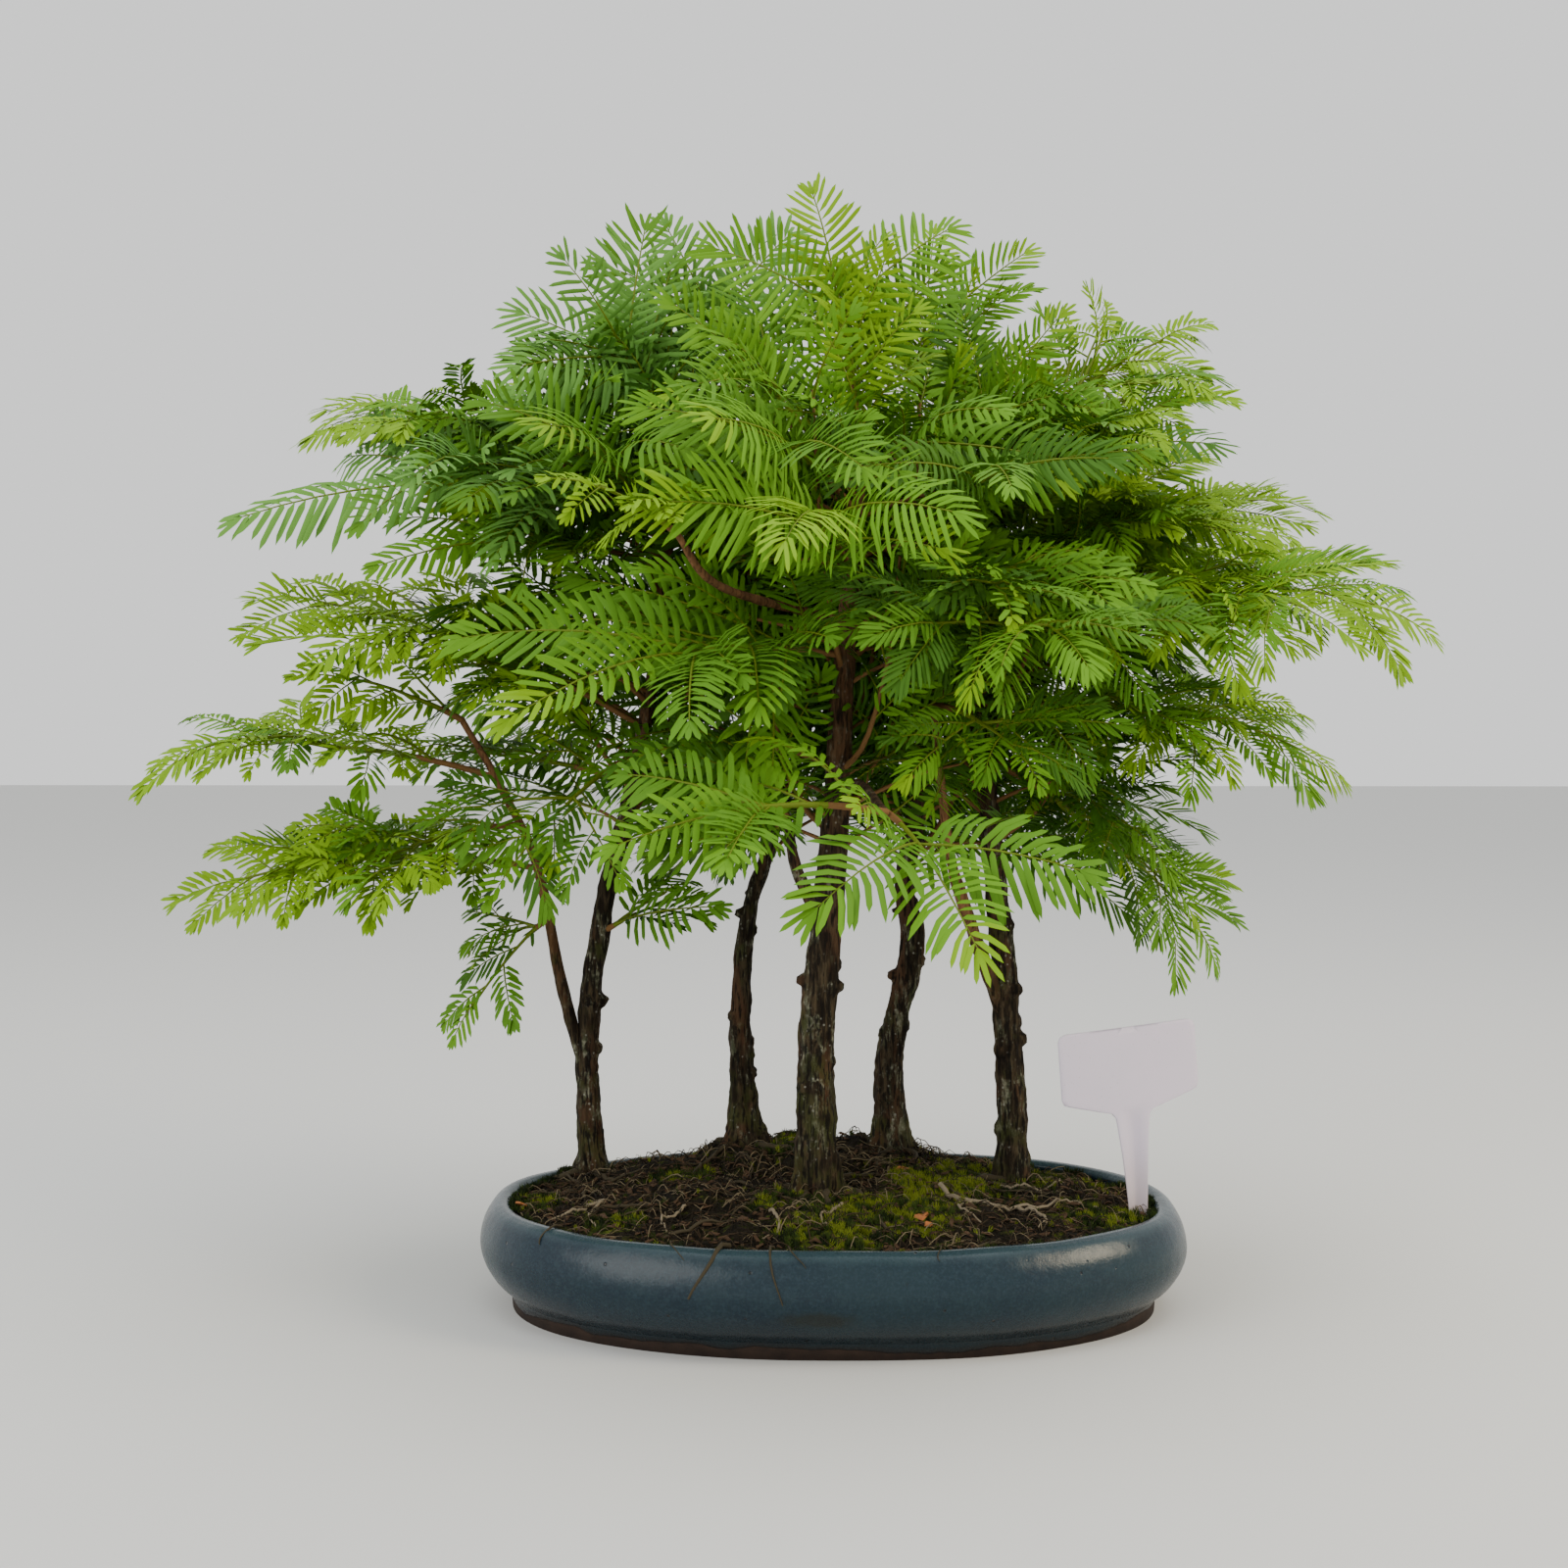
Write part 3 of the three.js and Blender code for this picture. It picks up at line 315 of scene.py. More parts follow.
# Chances that a finer spray is darker, inside the crown and further out, and darker again:
# painted shade, most of it inside the crown
INNER_DARKER, OUTER_DARKER, DARKER_AGAIN = 0.75, 0.3, 0.3
# What turns a loose spray's face: a push to the front in mm, how far it looks outwards where
# the spray lies level, and how much more where it rises
FACE_FRONT, FACE_OUT, FACE_OUT_RISING = 70, 0.5, 1.4
# Masses that point between these compass ways, to the viewer, have no finer sprays
OPEN_FROM, OPEN_TO = 232, 300

# Short shoots on the trunks inside the crown: lowest and highest share, and how many on each
SHOOTS = {
    "left": (0.5, 0.97, 28), "back_left": (0.52, 0.98, 34), "front": (0.5, 0.98, 40),
    "back_right": (0.5, 0.98, 36), "right": (0.5, 0.97, 34),
}
SHOOT_SPRAYS, SHOOT_SEED, SHOOT_ARCH = 3, 500, 0.06
# A shoot's radius and taper, the angle in radians between its sprays and how much it strays,
# and where the outer two start; then the share of the trunk from which shoots may be paler, as
# painted light high in the crown, and the chance that a spray is darker, as painted shade inside it
SHOOT_RADIUS, SHOOT_TAPER, SHOOT_FAN, SHOOT_STRAY, SHOOT_FORK = 1.0, 0.45, 0.75, 0.3, 0.75
SHOOT_LIT_FROM, SHOOT_SHADED = 0.45, 0.7
SHOOT_RISE, SHOOT_LENGTH = (0.15, 0.5), (14, 46)
SHOOT_SPRAY_RISE, SHOOT_SPRAY_LENGTH, SHOOT_NEEDLES = (-0.45, 1.1), (42, 32), (14, 8)
# Shoots that point to the viewer more than this are left out, as the trunks show there
SHOOTS_BARE_FRONT = 0.72
# Reddish twigs that climb beside each trunk, the sprays on each, and how high they may reach
CLIMBERS, CLIMBER_SPRAYS, CLIMBER_SEED, CROWN_TOP = 7, 7, 600, 370
# The part of the trunk that they spring from, their radius and taper, the part that bears
# sprays, the turn from one spray to the next, and the share of darker ones
CLIMB_FROM, CLIMB_OVER, CLIMBER_RADIUS, CLIMBER_TAPER = 0.48, 0.36, 1.35, 0.8
LEAFY_FROM, LEAFY_OVER, CLIMBER_TURN, CLIMBER_DARKER = 0.42, 0.56, 2.2, 0.6
# How far its knee is from the trunk and up, and its top from its knee and up
KNEE_OUT, KNEE_UP, TOP_OUT, TOP_UP = (9, 12), (14, 8), (8, 16), (50, 45)
CLIMBER_SPRAY_RISE, CLIMBER_SPRAY_LENGTH, CLIMBER_NEEDLES = (0.5, 0.7), (30, 22), (11, 7)

# Needles, in millimetres: longest as a share of its spray. Masses with needles below FINE bear
# twigs of small sprays
NEEDLE_SHARE, FINE = 0.42, 15
# Needles by themselves on a stem: the part that their number is for, where they start and over
# which part they stand, then their spacing, angle, droop and length as a share
LOOSE_PART, LOOSE_FROM, LOOSE_OVER = 0.55, 0.45, 0.53
LOOSE_SPACING, LOOSE_ANGLE, LOOSE_DROOP, LOOSE_REACH = 6, (55, 25), (0.3, 0.5), (0.5, 0.4)
# Limbs with narrower needles, and with closer ones
SLIM = {"right": 0.7, "back_right": 0.75, "fork_bough": 0.7}
CLOSE = {"front_bough": 0.8}
# Sprays of short and of long needles: points and radius of the stalk, spacing and widest angle
# of the needles, and how much shorter they are at the tip
SHORT_SPRAY = {"points": 4, "stalk": 0.42, "spacing": 2.8, "widest": 66, "tip_loss": 0.34}
LONG_SPRAY = {"points": 7, "stalk": 0.6, "spacing": 3.4, "widest": 80, "tip_loss": 0.5}
# A spray's arch, the length and width of its needles as shares, and how far they sag, sweep
# along it and lift from it; then one needle's length as a share, its droop and its twist
FROND_ARCH, FROND_REACH, FROND_WIDTH = (0.04, 0.1), (0.86, 0.28), (0.85, 0.2)
FROND_SAG, FROND_SWEEP, FROND_LIFT = (-0.15, 0.6), (0.05, 0.3), (0.12, 0.5)
NEEDLE_REACH, NEEDLE_DROOP, NEEDLE_TWIST = (0.84, 0.3), (0.05, 0.25), (-0.45, 0.9)
# The part of a spray that bears needles, the least number of pairs, where they start and over
# which part they stand, how much the stalk tapers, and where the needles turn pale
LEAFY, PAIRS_LEAST, NEEDLES_FROM, NEEDLES_OVER = 0.94, 5, 0.06, 0.93
STALK_TAPER, PALE_FROM = 0.6, 0.8
# How much the needles' angle closes along a spray and at its tip, how much it strays, how
# much their sag and lift do, and how far in mm each is from the middle of its pair
CLOSING, TIP_CLOSING, NEEDLE_STRAY, SAG_STRAY, PAIR_OFFSET = 20, 26, 16, 0.2, 0.4
# Share of a spray where its needles are longest, how much shorter they are at its base, the
# share of sprays with pale tips, and the angles of the needles at the very tip
LONGEST_AT, BASE_LOSS, PALE_TIPS, TIP_NEEDLES = 0.4, 0.42, 0.45, (-0.32, 0.05, 0.4)
# Outline of a long and of a short needle, as shares of its length and of its width there, the
# triangles between the outline's points, and how far a long one is folded on its rib
BROAD = ((0.0, 0.12, 0.5, 0.88, 1.0), (0.3, 0.85, 1.0, 0.85, 0.0))
SHORT = ((0.0, 0.3, 0.85, 1.0), (0.3, 1.0, 0.85, 0.0))
BROAD_FACES = [(0, 2, 1), (0, 3, 2), (1, 2, 5), (1, 5, 4), (2, 3, 6), (2, 6, 5),
               (4, 5, 8), (4, 8, 7), (5, 6, 9), (5, 9, 8), (7, 8, 10), (8, 9, 10)]
SHORT_FACES = [(0, 2, 1), (1, 2, 4), (1, 4, 3), (3, 4, 5)]
NEEDLE_FOLD, STALK_SIDES, TWIG_SIDES = 0.3, 4, 7

# Stage, in metres: each light's place, size, power as a share of the setting's, and colour
LIGHTS = {
    "key": ((-1.25, -1.2, 0.85), 1.5, 1.15, (1.0, 0.98, 0.94)),
    "sky": ((0.1, -0.1, 2.0), 1.8, 1.0, (0.93, 0.97, 1.0)),
    "warm_side": ((1.3, -0.4, 0.8), 0.6, 0.8, (1.0, 0.86, 0.62)),
}
LIGHT_AIM = (0, 0, 0.22)
BACKDROP_COLOR, BACKDROP_STRENGTH = (0.86, 0.865, 0.86, 1), 1.25
# The photo's camera: where it stands, what it looks at, its sensor in mm, and what it can see
CAMERA_PLACE, CAMERA_AIM = (0, -0.84, 0.24), (-0.0196, 0, 0.2112)
SENSOR_WIDTH, CAMERA_RANGE = 36, (0.05, 40)
# Floor, in millimetres
FLOOR_HALF, FLOOR_CORNERS = 6000, [(-1, -1), (1, -1), (1, 1), (-1, 1)]

# Tones that the finishes lay over the colours of the settings
TONES = {
    "clouded glaze": (0.0065, 0.021, 0.028), "gritty glaze": (0.014, 0.033, 0.046),
    "speckled glaze": (0.018, 0.037, 0.046), "thin glaze with painted highlight": (0.04, 0.068, 0.08),
    "low glaze": (0.008, 0.014, 0.017), "pinhole": (0.006, 0.006, 0.006),
    "dark dot": (0.006, 0.012, 0.014), "smudge": (0.009, 0.011, 0.008),
    "glaze edge": (0.012, 0.01, 0.008), "light clay": (0.045, 0.026, 0.017),
    "dry earth": (0.015, 0.011, 0.006), "strand": (0.08, 0.06, 0.034),
    "light moss": (0.085, 0.105, 0.008), "light young bark": (0.24, 0.115, 0.05),
    "light old bark": (0.058, 0.042, 0.023), "warm bark": (0.085, 0.04, 0.02),
    "light lichen": (0.27, 0.27, 0.19), "lichen dot": (0.38, 0.38, 0.32),
    "green bark": (0.035, 0.042, 0.01), "crack": (0.005, 0.0035, 0.0025),
    "stained plastic": (0.56, 0.53, 0.62), "muddy plastic": (0.34, 0.27, 0.2),
    "plastic speck": (0.25, 0.22, 0.2),
}


# Settings


def color_setting(name, description, color):
    return FloatVectorProperty(
        name=name, description=description, default=color, subtype="COLOR", size=3, min=0, max=1)


def length_setting(name, description, length, least, most):
    return FloatProperty(
        name=name, description=description, default=length, unit="LENGTH", min=least, max=most)


class PotSettings(bpy.types.PropertyGroup):
    glaze: color_setting("Glaze", "Main colour of the glaze", (0.003, 0.0125, 0.0215))
    clay: color_setting("Clay", "Colour of the bare foot", (0.009, 0.006, 0.005))
    foot: length_setting("Bare foot", "Height of the unglazed band", 0.0036, 0, 0.02)


class SoilSettings(bpy.types.PropertyGroup):
    earth: color_setting("Earth", "Colour of the earth", (0.004, 0.0035, 0.002))
    moss: color_setting("Moss", "Colour of the moss", (0.03, 0.048, 0.006))
    roughness: length_setting("Lumps", "Height of the small lumps", 0.0016, 0, 0.01)
    fibres: IntProperty(
        name="Fibres", description="Number of loose fibres", min=0, max=4000, default=3600)
    seed: IntProperty(name="Seed", description="Seed of the litter", default=11)


class LabelSettings(bpy.types.PropertyGroup):
    plastic: color_setting("Plastic", "Colour of the label", (0.65, 0.57, 0.68))
    crease: length_setting("Crease", "Depth of the crease along the stem", 0.003, 0, 0.004)


class BarkSettings(bpy.types.PropertyGroup):
    old: color_setting("Old bark", "Colour low on the trunks", (0.012, 0.008, 0.0045))
    young: color_setting("Young bark", "Colour of upper trunks and boughs", (0.13, 0.062, 0.027))
    lichen: color_setting("Lichen", "Colour of the lichen", (0.07, 0.078, 0.042))
    relief: length_setting("Relief", "Depth of the flaking plates", 0.0008, 0, 0.002)


class FoliageSettings(bpy.types.PropertyGroup):
    # young and fresh are the needles' own greens; light, deep and cool are painted light and shade
    young: color_setting("Young", "Newest sprays", (0.165, 0.31, 0.004))
    light: color_setting("Light", "Sprays in the sun", (0.1, 0.24, 0.008))
    fresh: color_setting("Fresh", "Most sprays", (0.078, 0.195, 0.01))
    deep: color_setting("Deep", "Sprays inside the crown", (0.048, 0.13, 0.01))
    cool: color_setting("Cool", "Bluish sprays in open shade", (0.105, 0.25, 0.036))
    stalk: color_setting("Stalks", "Green stalks of the sprays", (0.12, 0.17, 0.008))
    wood: color_setting("Twigs", "Young twigs", (0.17, 0.085, 0.028))
    width: length_setting("Needle width", "Width of a needle", 0.002, 0.0005, 0.005)
    fill: IntProperty(
        name="Finer sprays", description="Finer sprays at each step of a stem", min=0, max=6,
        default=2)


class StageSettings(bpy.types.PropertyGroup):
    floor: color_setting("Floor", "Colour of the floor", (0.6, 0.6, 0.585))
    lens: FloatProperty(
        name="Lens", description="Focal length of the camera", min=10, max=200, default=47.25)
    key: FloatProperty(
        name="Key light", description="Power of the main light", min=0, max=200, default=18)


GROUPS = {
    "forest_pot": PotSettings, "forest_soil": SoilSettings, "forest_label": LabelSettings,
    "forest_bark": BarkSettings, "forest_foliage": FoliageSettings,
    "forest_stage": StageSettings,
}


# Nodes


def put(tree, socket, value):
    """Links a socket to another, or gives it a plain value."""
    if isinstance(value, Value):
        value = value.socket
    if isinstance(value, bpy.types.NodeSocket):
        tree.links.new(value, socket)
    elif socket.type == "RGBA" and len(value) == 3:
        socket.default_value = (*value, 1)
    else:
        socket.default_value = value


def add_node(tree, kind, values=(), **settings):
    """A node with its settings, and other sockets or plain values for its own sockets."""
    node = tree.nodes.new(kind)
    for key, value in settings.items():
        setattr(node, key, value)
    for key, value in values.items() if isinstance(values, dict) else enumerate(values):
        put(tree, node.inputs[key], value)
    return node


# Materials


class Value:
    """A socket in a material. Python's operators on it add Math nodes."""

    def __init__(self, finish, socket):
        self.finish = finish
        self.socket = socket

    def _math(self, operation, first, second):
        return self.finish.node("ShaderNodeMath", [first, second], operation=operation)

    def __add__(self, other):
        return self._math("ADD", self, other)

    def __radd__(self, other):
        return self._math("ADD", other, self)

    def __sub__(self, other):
        return self._math("SUBTRACT", self, other)

    def __rsub__(self, other):
        return self._math("SUBTRACT", other, self)

    def __mul__(self, other):
        return self._math("MULTIPLY", self, other)

    def __rmul__(self, other):
        return self._math("MULTIPLY", other, self)

    def __truediv__(self, other):
        return self._math("DIVIDE", self, other)

    def __rtruediv__(self, other):
        return self._math("DIVIDE", other, self)


class Finish:
    """A material that is written as expressions."""

    def __init__(self, name):
        self.material = bpy.data.materials.new(name)
        self.material.use_nodes = True
        self.tree = self.material.node_tree
        self.surface = self.tree.nodes["Principled BSDF"]
        self.place = self.node("ShaderNodeTexCoord", output="Object")

    def node(self, kind, values=(), output=0, **settings):
        return Value(self, add_node(self.tree, kind, values, **settings).outputs[output])

    def stretched(self, x, y, z):
        return self.node(
            "ShaderNodeMapping", {"Vector": self.place, "Scale": (x, y, z)})

    def grain(self, scale, detail=4, rough=0.55, warp=0, vector=None):
        return self.node("ShaderNodeTexNoise", {
            "Vector": vector or self.place, "Scale": scale, "Detail": detail,
            "Roughness": rough, "Distortion": warp})

    def cells(self, scale, output="Distance"):
        return self.node(
            "ShaderNodeTexVoronoi", {"Vector": self.place, "Scale": scale}, output=output)

    def step(self, value, low, high):
        return self.node("ShaderNodeMapRange", {
            "Value": value, "From Min": low, "From Max": high, "To Min": 0, "To Max": 1},
            interpolation_type="SMOOTHSTEP")

    def fall(self, value, low, high):
        return 1 - self.step(value, low, high)

    def blend(self, share, first, second):
        return self.node("ShaderNodeMix", {
            "Factor": share, 6: first, 7: second}, output=2, data_type="RGBA")

    def layered(self, color, *layers):
        """A colour with named tones laid over it, each by its share."""
        for share, tone in layers:
            color = self.blend(share, color, TONES[tone])
        return color

    def height(self):
        return self.node("ShaderNodeSeparateXYZ", [self.place], output="Z")

    def distance(self, first, second):
        return self.node("ShaderNodeVectorMath", [first, second], output="Value",
                         operation="DISTANCE")

    def bump(self, height, depth, strength=1.0):
        return self.node("ShaderNodeBump", {
            "Height": height, "Distance": depth, "Strength": strength})

    def done(self, **sockets):
        for key, value in sockets.items():
            put(self.tree, self.surface.inputs[key.replace("_", " ")], value)
        return self.material


def plain_finish(name, color, roughness, shine=0.2):
    return Finish(name).done(
        Base_Color=tuple(color), Roughness=roughness, Specular_IOR_Level=shine)


def glaze_finish(pot):
    """Cloudy speckled glaze with pinholes and a smudge, thin and paler at the lip with a painted
    highlight there, over a bare clay foot.
    """
    f = Finish("speckled_glaze")
    z = f.height()
    cloud, fine, grit = f.grain(26, 5, 0.6), f.grain(420, 3, 0.6), f.grain(1100, 2, 0.6)
    pinholes = f.fall(f.cells(150), 0.05, 0.13) * f.step(f.cells(150, "Color"), 0.62, 0.66)
    reach = [size * stretch * MM for size, stretch in zip(SMUDGE, SMUDGE_STRETCH)]
    far = f.distance(f.stretched(*SMUDGE_STRETCH), tuple(reach))
    edge = z + (f.grain(30, 2) - 0.5) * 0.008 + (f.grain(150, 2) - 0.5) * 0.0012
    color = f.layered(
        tuple(pot.glaze),
        (f.step(cloud, 0.35, 0.68), "clouded glaze"),
        (f.step(grit, 0.45, 0.68) * 0.6, "gritty glaze"),
        (f.step(fine, 0.5, 0.75) * 0.4, "speckled glaze"),
        # Paler at the top of the lip: thinner glaze there, and a painted highlight
        (f.step(z + cloud * 0.004, 0.0395, 0.0435) * 0.55, "thin glaze with painted highlight"),
        # Darker towards the bottom of the belly
        (f.fall(z + cloud * 0.008, 0.011, 0.024) * 0.65, "low glaze"),
        (pinholes * 0.85, "pinhole"),
        (f.fall(f.cells(560), 0.1, 0.22) * 0.4, "dark dot"),
        (f.fall(far + f.grain(190, 4) * 0.014, 0.012, 0.026) * 0.75, "smudge"),
        (f.fall(edge, pot.foot, pot.foot + 0.003) * 0.7, "glaze edge"))
    glazed = f.step(edge, pot.foot - 0.0003, pot.foot + 0.0004)
    clay = f.layered(tuple(pot.clay), (f.grain(180, 4), "light clay"))
    wear = glazed * (0.75 - fine * 0.16) + pinholes * 0.3
    relief = fine * 0.3 + grit * 0.3 + glazed * 1.5 - pinholes * 1.2 + f.grain(60, 2) * 2.4
    return f.done(
        Base_Color=f.blend(glazed, clay, color), Roughness=0.94 - wear, Specular_IOR_Level=0.3,
        Normal=f.bump(relief, 0.0003, 0.7))


def soil_finish(soil):
    """Dark earth with pale strands, mossy round the places in MOSS."""
    f = Finish("earth_and_moss")
    lumps = f.grain(130, 6, 0.7)
    strands = f.grain(1, 4, 0.65, vector=f.stretched(900, 240, 500))
    color = f.layered(
        tuple(soil.earth),
        (f.step(lumps, 0.3, 0.7), "dry earth"),
        (f.step(strands, 0.6, 0.78) * 0.6, "strand"))
    flat = f.stretched(1, 1, 0)
    amount = 0.0
    for x, y, reach in MOSS:
        far = f.distance(flat, (x * MM, y * MM, 0))
        amount = f.node("ShaderNodeMath", [amount, 1 - far / (reach * MM)],
                        operation="MAXIMUM")
    mossy = f.step(amount + f.grain(110, 5, 0.7) * 1.3, 0.68, 0.95)
    moss = f.layered(tuple(soil.moss), (f.step(f.grain(420, 3), 0.35, 0.65), "light moss"))
    color = f.blend(mossy * f.step(lumps, 0.25, 0.45), color, moss)
    return f.done(
        Base_Color=color, Roughness=0.95, Specular_IOR_Level=0.15,
        Normal=f.bump(lumps + strands * 0.6 + f.grain(700, 3) * 0.4, 0.0016))


def bark_finish(bark, name, top, bottom):
    """Flaking bark, old and lichened below, smooth and warm above."""
    f = Finish(name)
    z = f.height()
    plates = f.grain(1, 5, 0.62, 0.6, vector=f.stretched(430, 430, 70))
    cracks = f.grain(1, 3, 0.5, vector=f.stretched(760, 760, 110))
    warm = f.grain(1, 3, 0.5, vector=f.stretched(120, 120, 22))
    crust = f.grain(1, 5, 0.72, vector=f.stretched(330, 330, 95))
    broad = f.grain(55, 3)
    aged = f.fall(z + (broad - 0.5) * 0.09, bottom, top)
    patches = f.step(broad, 0.42, 0.56) * aged
    scales = f.step(crust, 0.5, 0.6) * patches
    young = f.layered(tuple(bark.young), (f.step(plates, 0.35, 0.7), "light young bark"))
    old = f.layered(tuple(bark.old), (f.step(plates, 0.4, 0.7), "light old bark"))
    grey = f.layered(tuple(bark.lichen), (f.step(f.grain(330, 2), 0.4, 0.7), "light lichen"))
    color = f.layered(f.blend(aged, young, old), (f.step(warm, 0.5, 0.66) * 0.5, "warm bark"))
    color = f.layered(
        f.blend(scales * 0.6, color, grey),
        (f.fall(f.cells(300), 0.1, 0.2) * patches * 0.4, "lichen dot"),
        (f.step(f.grain(70, 4) - z * 1.2, 0.38, 0.54) * 0.6, "green bark"),
        (f.fall(cracks, 0.38, 0.5) * (0.5 + aged * 0.4), "crack"))
    return f.done(
        Base_Color=color, Roughness=0.94 - scales * 0.08, Specular_IOR_Level=0.15,
        Normal=f.bump(plates + cracks * 0.7 + scales * 0.3, 0.0007, 0.8))


def label_finish(label):
    """Faintly stained plastic, muddy where it stands in the soil."""
    f = Finish("bare_plastic")
    stain = f.grain(35, 4)
    color = f.layered(
        tuple(label.plastic),
        (f.step(stain, 0.3, 0.8) * 0.35, "stained plastic"),
        (f.fall(f.height() + stain * 0.02, 0.05, 0.085) * 0.45, "muddy plastic"),
        (f.fall(f.cells(420), 0.06, 0.13) * f.step(stain, 0.45, 0.6) * 0.3, "plastic speck"))
    return f.done(
        Base_Color=color, Roughness=0.42 + stain * 0.12,
        Normal=f.bump(f.grain(260, 3), 0.00012, 0.5))


# Meshes


def new_object(name, mesh, *materials):
    piece = bpy.data.objects.new(name, mesh)
    for material in materials:
        mesh.materials.append(material)
    bpy.context.scene.collection.objects.link(piece)
    return piece


def mesh_from(name, points, faces, tints=None, smooth=True):
    """A mesh from an array of points in millimetres and one of faces with equally many corners."""
    points = np.asarray(points, np.float32) * MM
    faces = np.asarray(faces, np.int32)
    mesh = bpy.data.meshes.new(name)
    mesh.vertices.add(len(points))
    mesh.vertices.foreach_set("co", points.ravel())
    mesh.loops.add(faces.size)
    mesh.loops.foreach_set("vertex_index", faces.ravel())
    mesh.polygons.add(len(faces))
    mesh.polygons.foreach_set(
        "loop_start", np.arange(0, faces.size, faces.shape[1], dtype=np.int32))
    mesh.polygons.foreach_set("use_smooth", np.full(len(faces), smooth))
    if tints is not None:
        mesh.polygons.foreach_set("material_index", np.asarray(tints, np.int32))
    mesh.update(calc_edges=True)
    mesh.validate()
    return mesh


def ring_faces(rings, sides):
    """Quads over rings of points, which run anticlockwise seen from the last ring."""
    ring, side = np.meshgrid(np.arange(rings - 1), np.arange(sides), indexing="ij")
    low = ring * sides + side
    following = ring * sides + (side + 1) % sides
    return np.stack([low, following, following + sides, low + sides], -1).reshape(-1, 4)


def close_ends(mesh):
    """Caps the open ends of a lofted mesh."""
    shell = bmesh.new()
    shell.from_mesh(mesh)
    rims = [edge for edge in shell.edges if edge.is_boundary]
    caps = bmesh.ops.holes_fill(shell, edges=rims, sides=0)["faces"]
    bmesh.ops.triangulate(shell, faces=caps)
    bmesh.ops.recalc_face_normals(shell, faces=shell.faces)
    shell.to_mesh(mesh)
    shell.free()
    return mesh


def finish_piece(piece, slot, *nodes):
    """Says what a piece rides on, and hides the solids that it stands for; its slot is not used."""
    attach(piece, BODY)
    if nodes:
        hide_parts(*nodes)
    return piece


def loft(name, points, sides, material, slot, *nodes):
    """A closed piece over rings of points, in place of some of the solids' nodes."""
    mesh = mesh_from(name, points, ring_faces(len(points) // sides, sides))
    return finish_piece(new_object(name, close_ends(mesh), material), slot, *nodes)


# Random numbers and limbs, as in the solids


def random_from(seed):
    """Repeatable random numbers from 0 to 1, the same that shaped the solids."""
    mask = 0xFFFFFFFF
    state = seed & mask

    def draw():
        nonlocal state
        state = (state + 0x6D2B79F5) & mask
        mixed = ((state ^ (state >> 15)) * (state | 1)) & mask
        mixed ^= (mixed + (((mixed ^ (mixed >> 7)) * (mixed | 61)) & mask)) & mask
        return (mixed ^ (mixed >> 14)) / 4294967296

    return draw


def drawn(random, least, spread):
    return least + spread * random()


def unit(vector):
    return vector / np.linalg.norm(vector)


def square_to(direction, axis):
    return unit(direction - axis * np.dot(direction, axis))


def held(value, low, high):
    return min(max(value, low), high)


def compass_way(turn, rise=0.0):
    return np.array([math.cos(turn), math.sin(turn), rise])


def between(along, across, angle):
    """The way at an angle from one way, towards another that is square to it."""
    return along * math.cos(angle) + across * math.sin(angle)


def turned(vector, axis, angle):
    """A vector turned about an axis."""
    cosine, sine = math.cos(angle), math.sin(angle)
    return (vector * cosine + np.cross(axis, vector) * sine
            + axis * np.dot(axis, vector) * (1 - cosine))


def line_on(curve, shares):
    return np.array([curve.at(share) for share in shares])


class Course:
    """A smooth line through points."""

    def __init__(self, points):
        self.points = np.array(points, float)

    def at(self, share):
        points = self.points
        place = share * (len(points) - 1)
        first = min(int(place), len(points) - 2)
        t = place - first
        before = points[first - 1] if first else 2 * points[0] - points[1]
        after = points[first + 2] if first + 2 < len(points) else 2 * points[-1] - points[-2]
        start, end = points[first], points[first + 1]
        leave, arrive = (end - before) / 2, (after - start) / 2
        return (start + leave * t + (3 * (end - start) - 2 * leave - arrive) * t ** 2
                + (2 * (start - end) + leave + arrive) * t ** 3)

    def along(self, share):
        low, high = max(share - 1e-4, 0), min(share + 1e-4, 1)
        return unit(self.at(high) - self.at(low))


class Trunk:
    """A trunk's course, and how it tapers from its flared foot."""

    def __init__(self, sizes):
        self.sizes = sizes
        self.course = Course(sizes["course"])
        self.tall = sizes["course"][-1][2] - sizes["course"][0][2]

    def radius(self, share):
        s = self.sizes
        taper = (s["waist"] - s["tip"]) * max(1 - share, 0) ** FULLNESS
        flare = (s["foot"] - s["waist"]) * math.exp(-share * self.tall / s["flare"])
        return (s["tip"] + taper + flare) / 2


class Bough:
    """A bough's course from its trunk, and how it tapers."""

    def __init__(self, trunk, start, root, tip, points):
        self.course = Course([trunk.course.at(start), *points])
        self.root, self.tip = root, tip

    def radius(self, share):
        return (self.root + (self.tip - self.root) * share) / 2


LIMBS = {name: Trunk(sizes) for name, sizes in TRUNKS.items()}
LIMBS.update({name: Bough(LIMBS[row[0]], *row[1:]) for name, row in BOUGHS.items()})


class Arch:
    """A low arch from one point to another."""

    def __init__(self, start, end, over, height):
        self.start, self.chord = start, end - start
        self.rise = over * (4 * height * np.linalg.norm(self.chord))

    def at(self, share):
        return self.start + self.chord * share + self.rise * (share * (1 - share))

    def along(self, share):
        return unit(self.chord + self.rise * (1 - 2 * share))


# Pot


def on_oval(turn, inset):
    """Where an angle, or each of several, meets the pot's oval set in from its widest ring."""
    power = 2 / POT_SQUARENESS
    along, across = np.cos(turn), np.sin(turn)
    return ((POT_HALF[0] - inset) * np.sign(along) * np.abs(along) ** power,
            (POT_HALF[1] - inset) * np.sign(across) * np.abs(across) ** power)


def oval(inset, height, sides=POT_SIDES):
    x, y = on_oval(2 * np.pi * np.arange(sides) / sides, inset)
    return np.stack([x, y, np.full(sides, float(height))], -1)


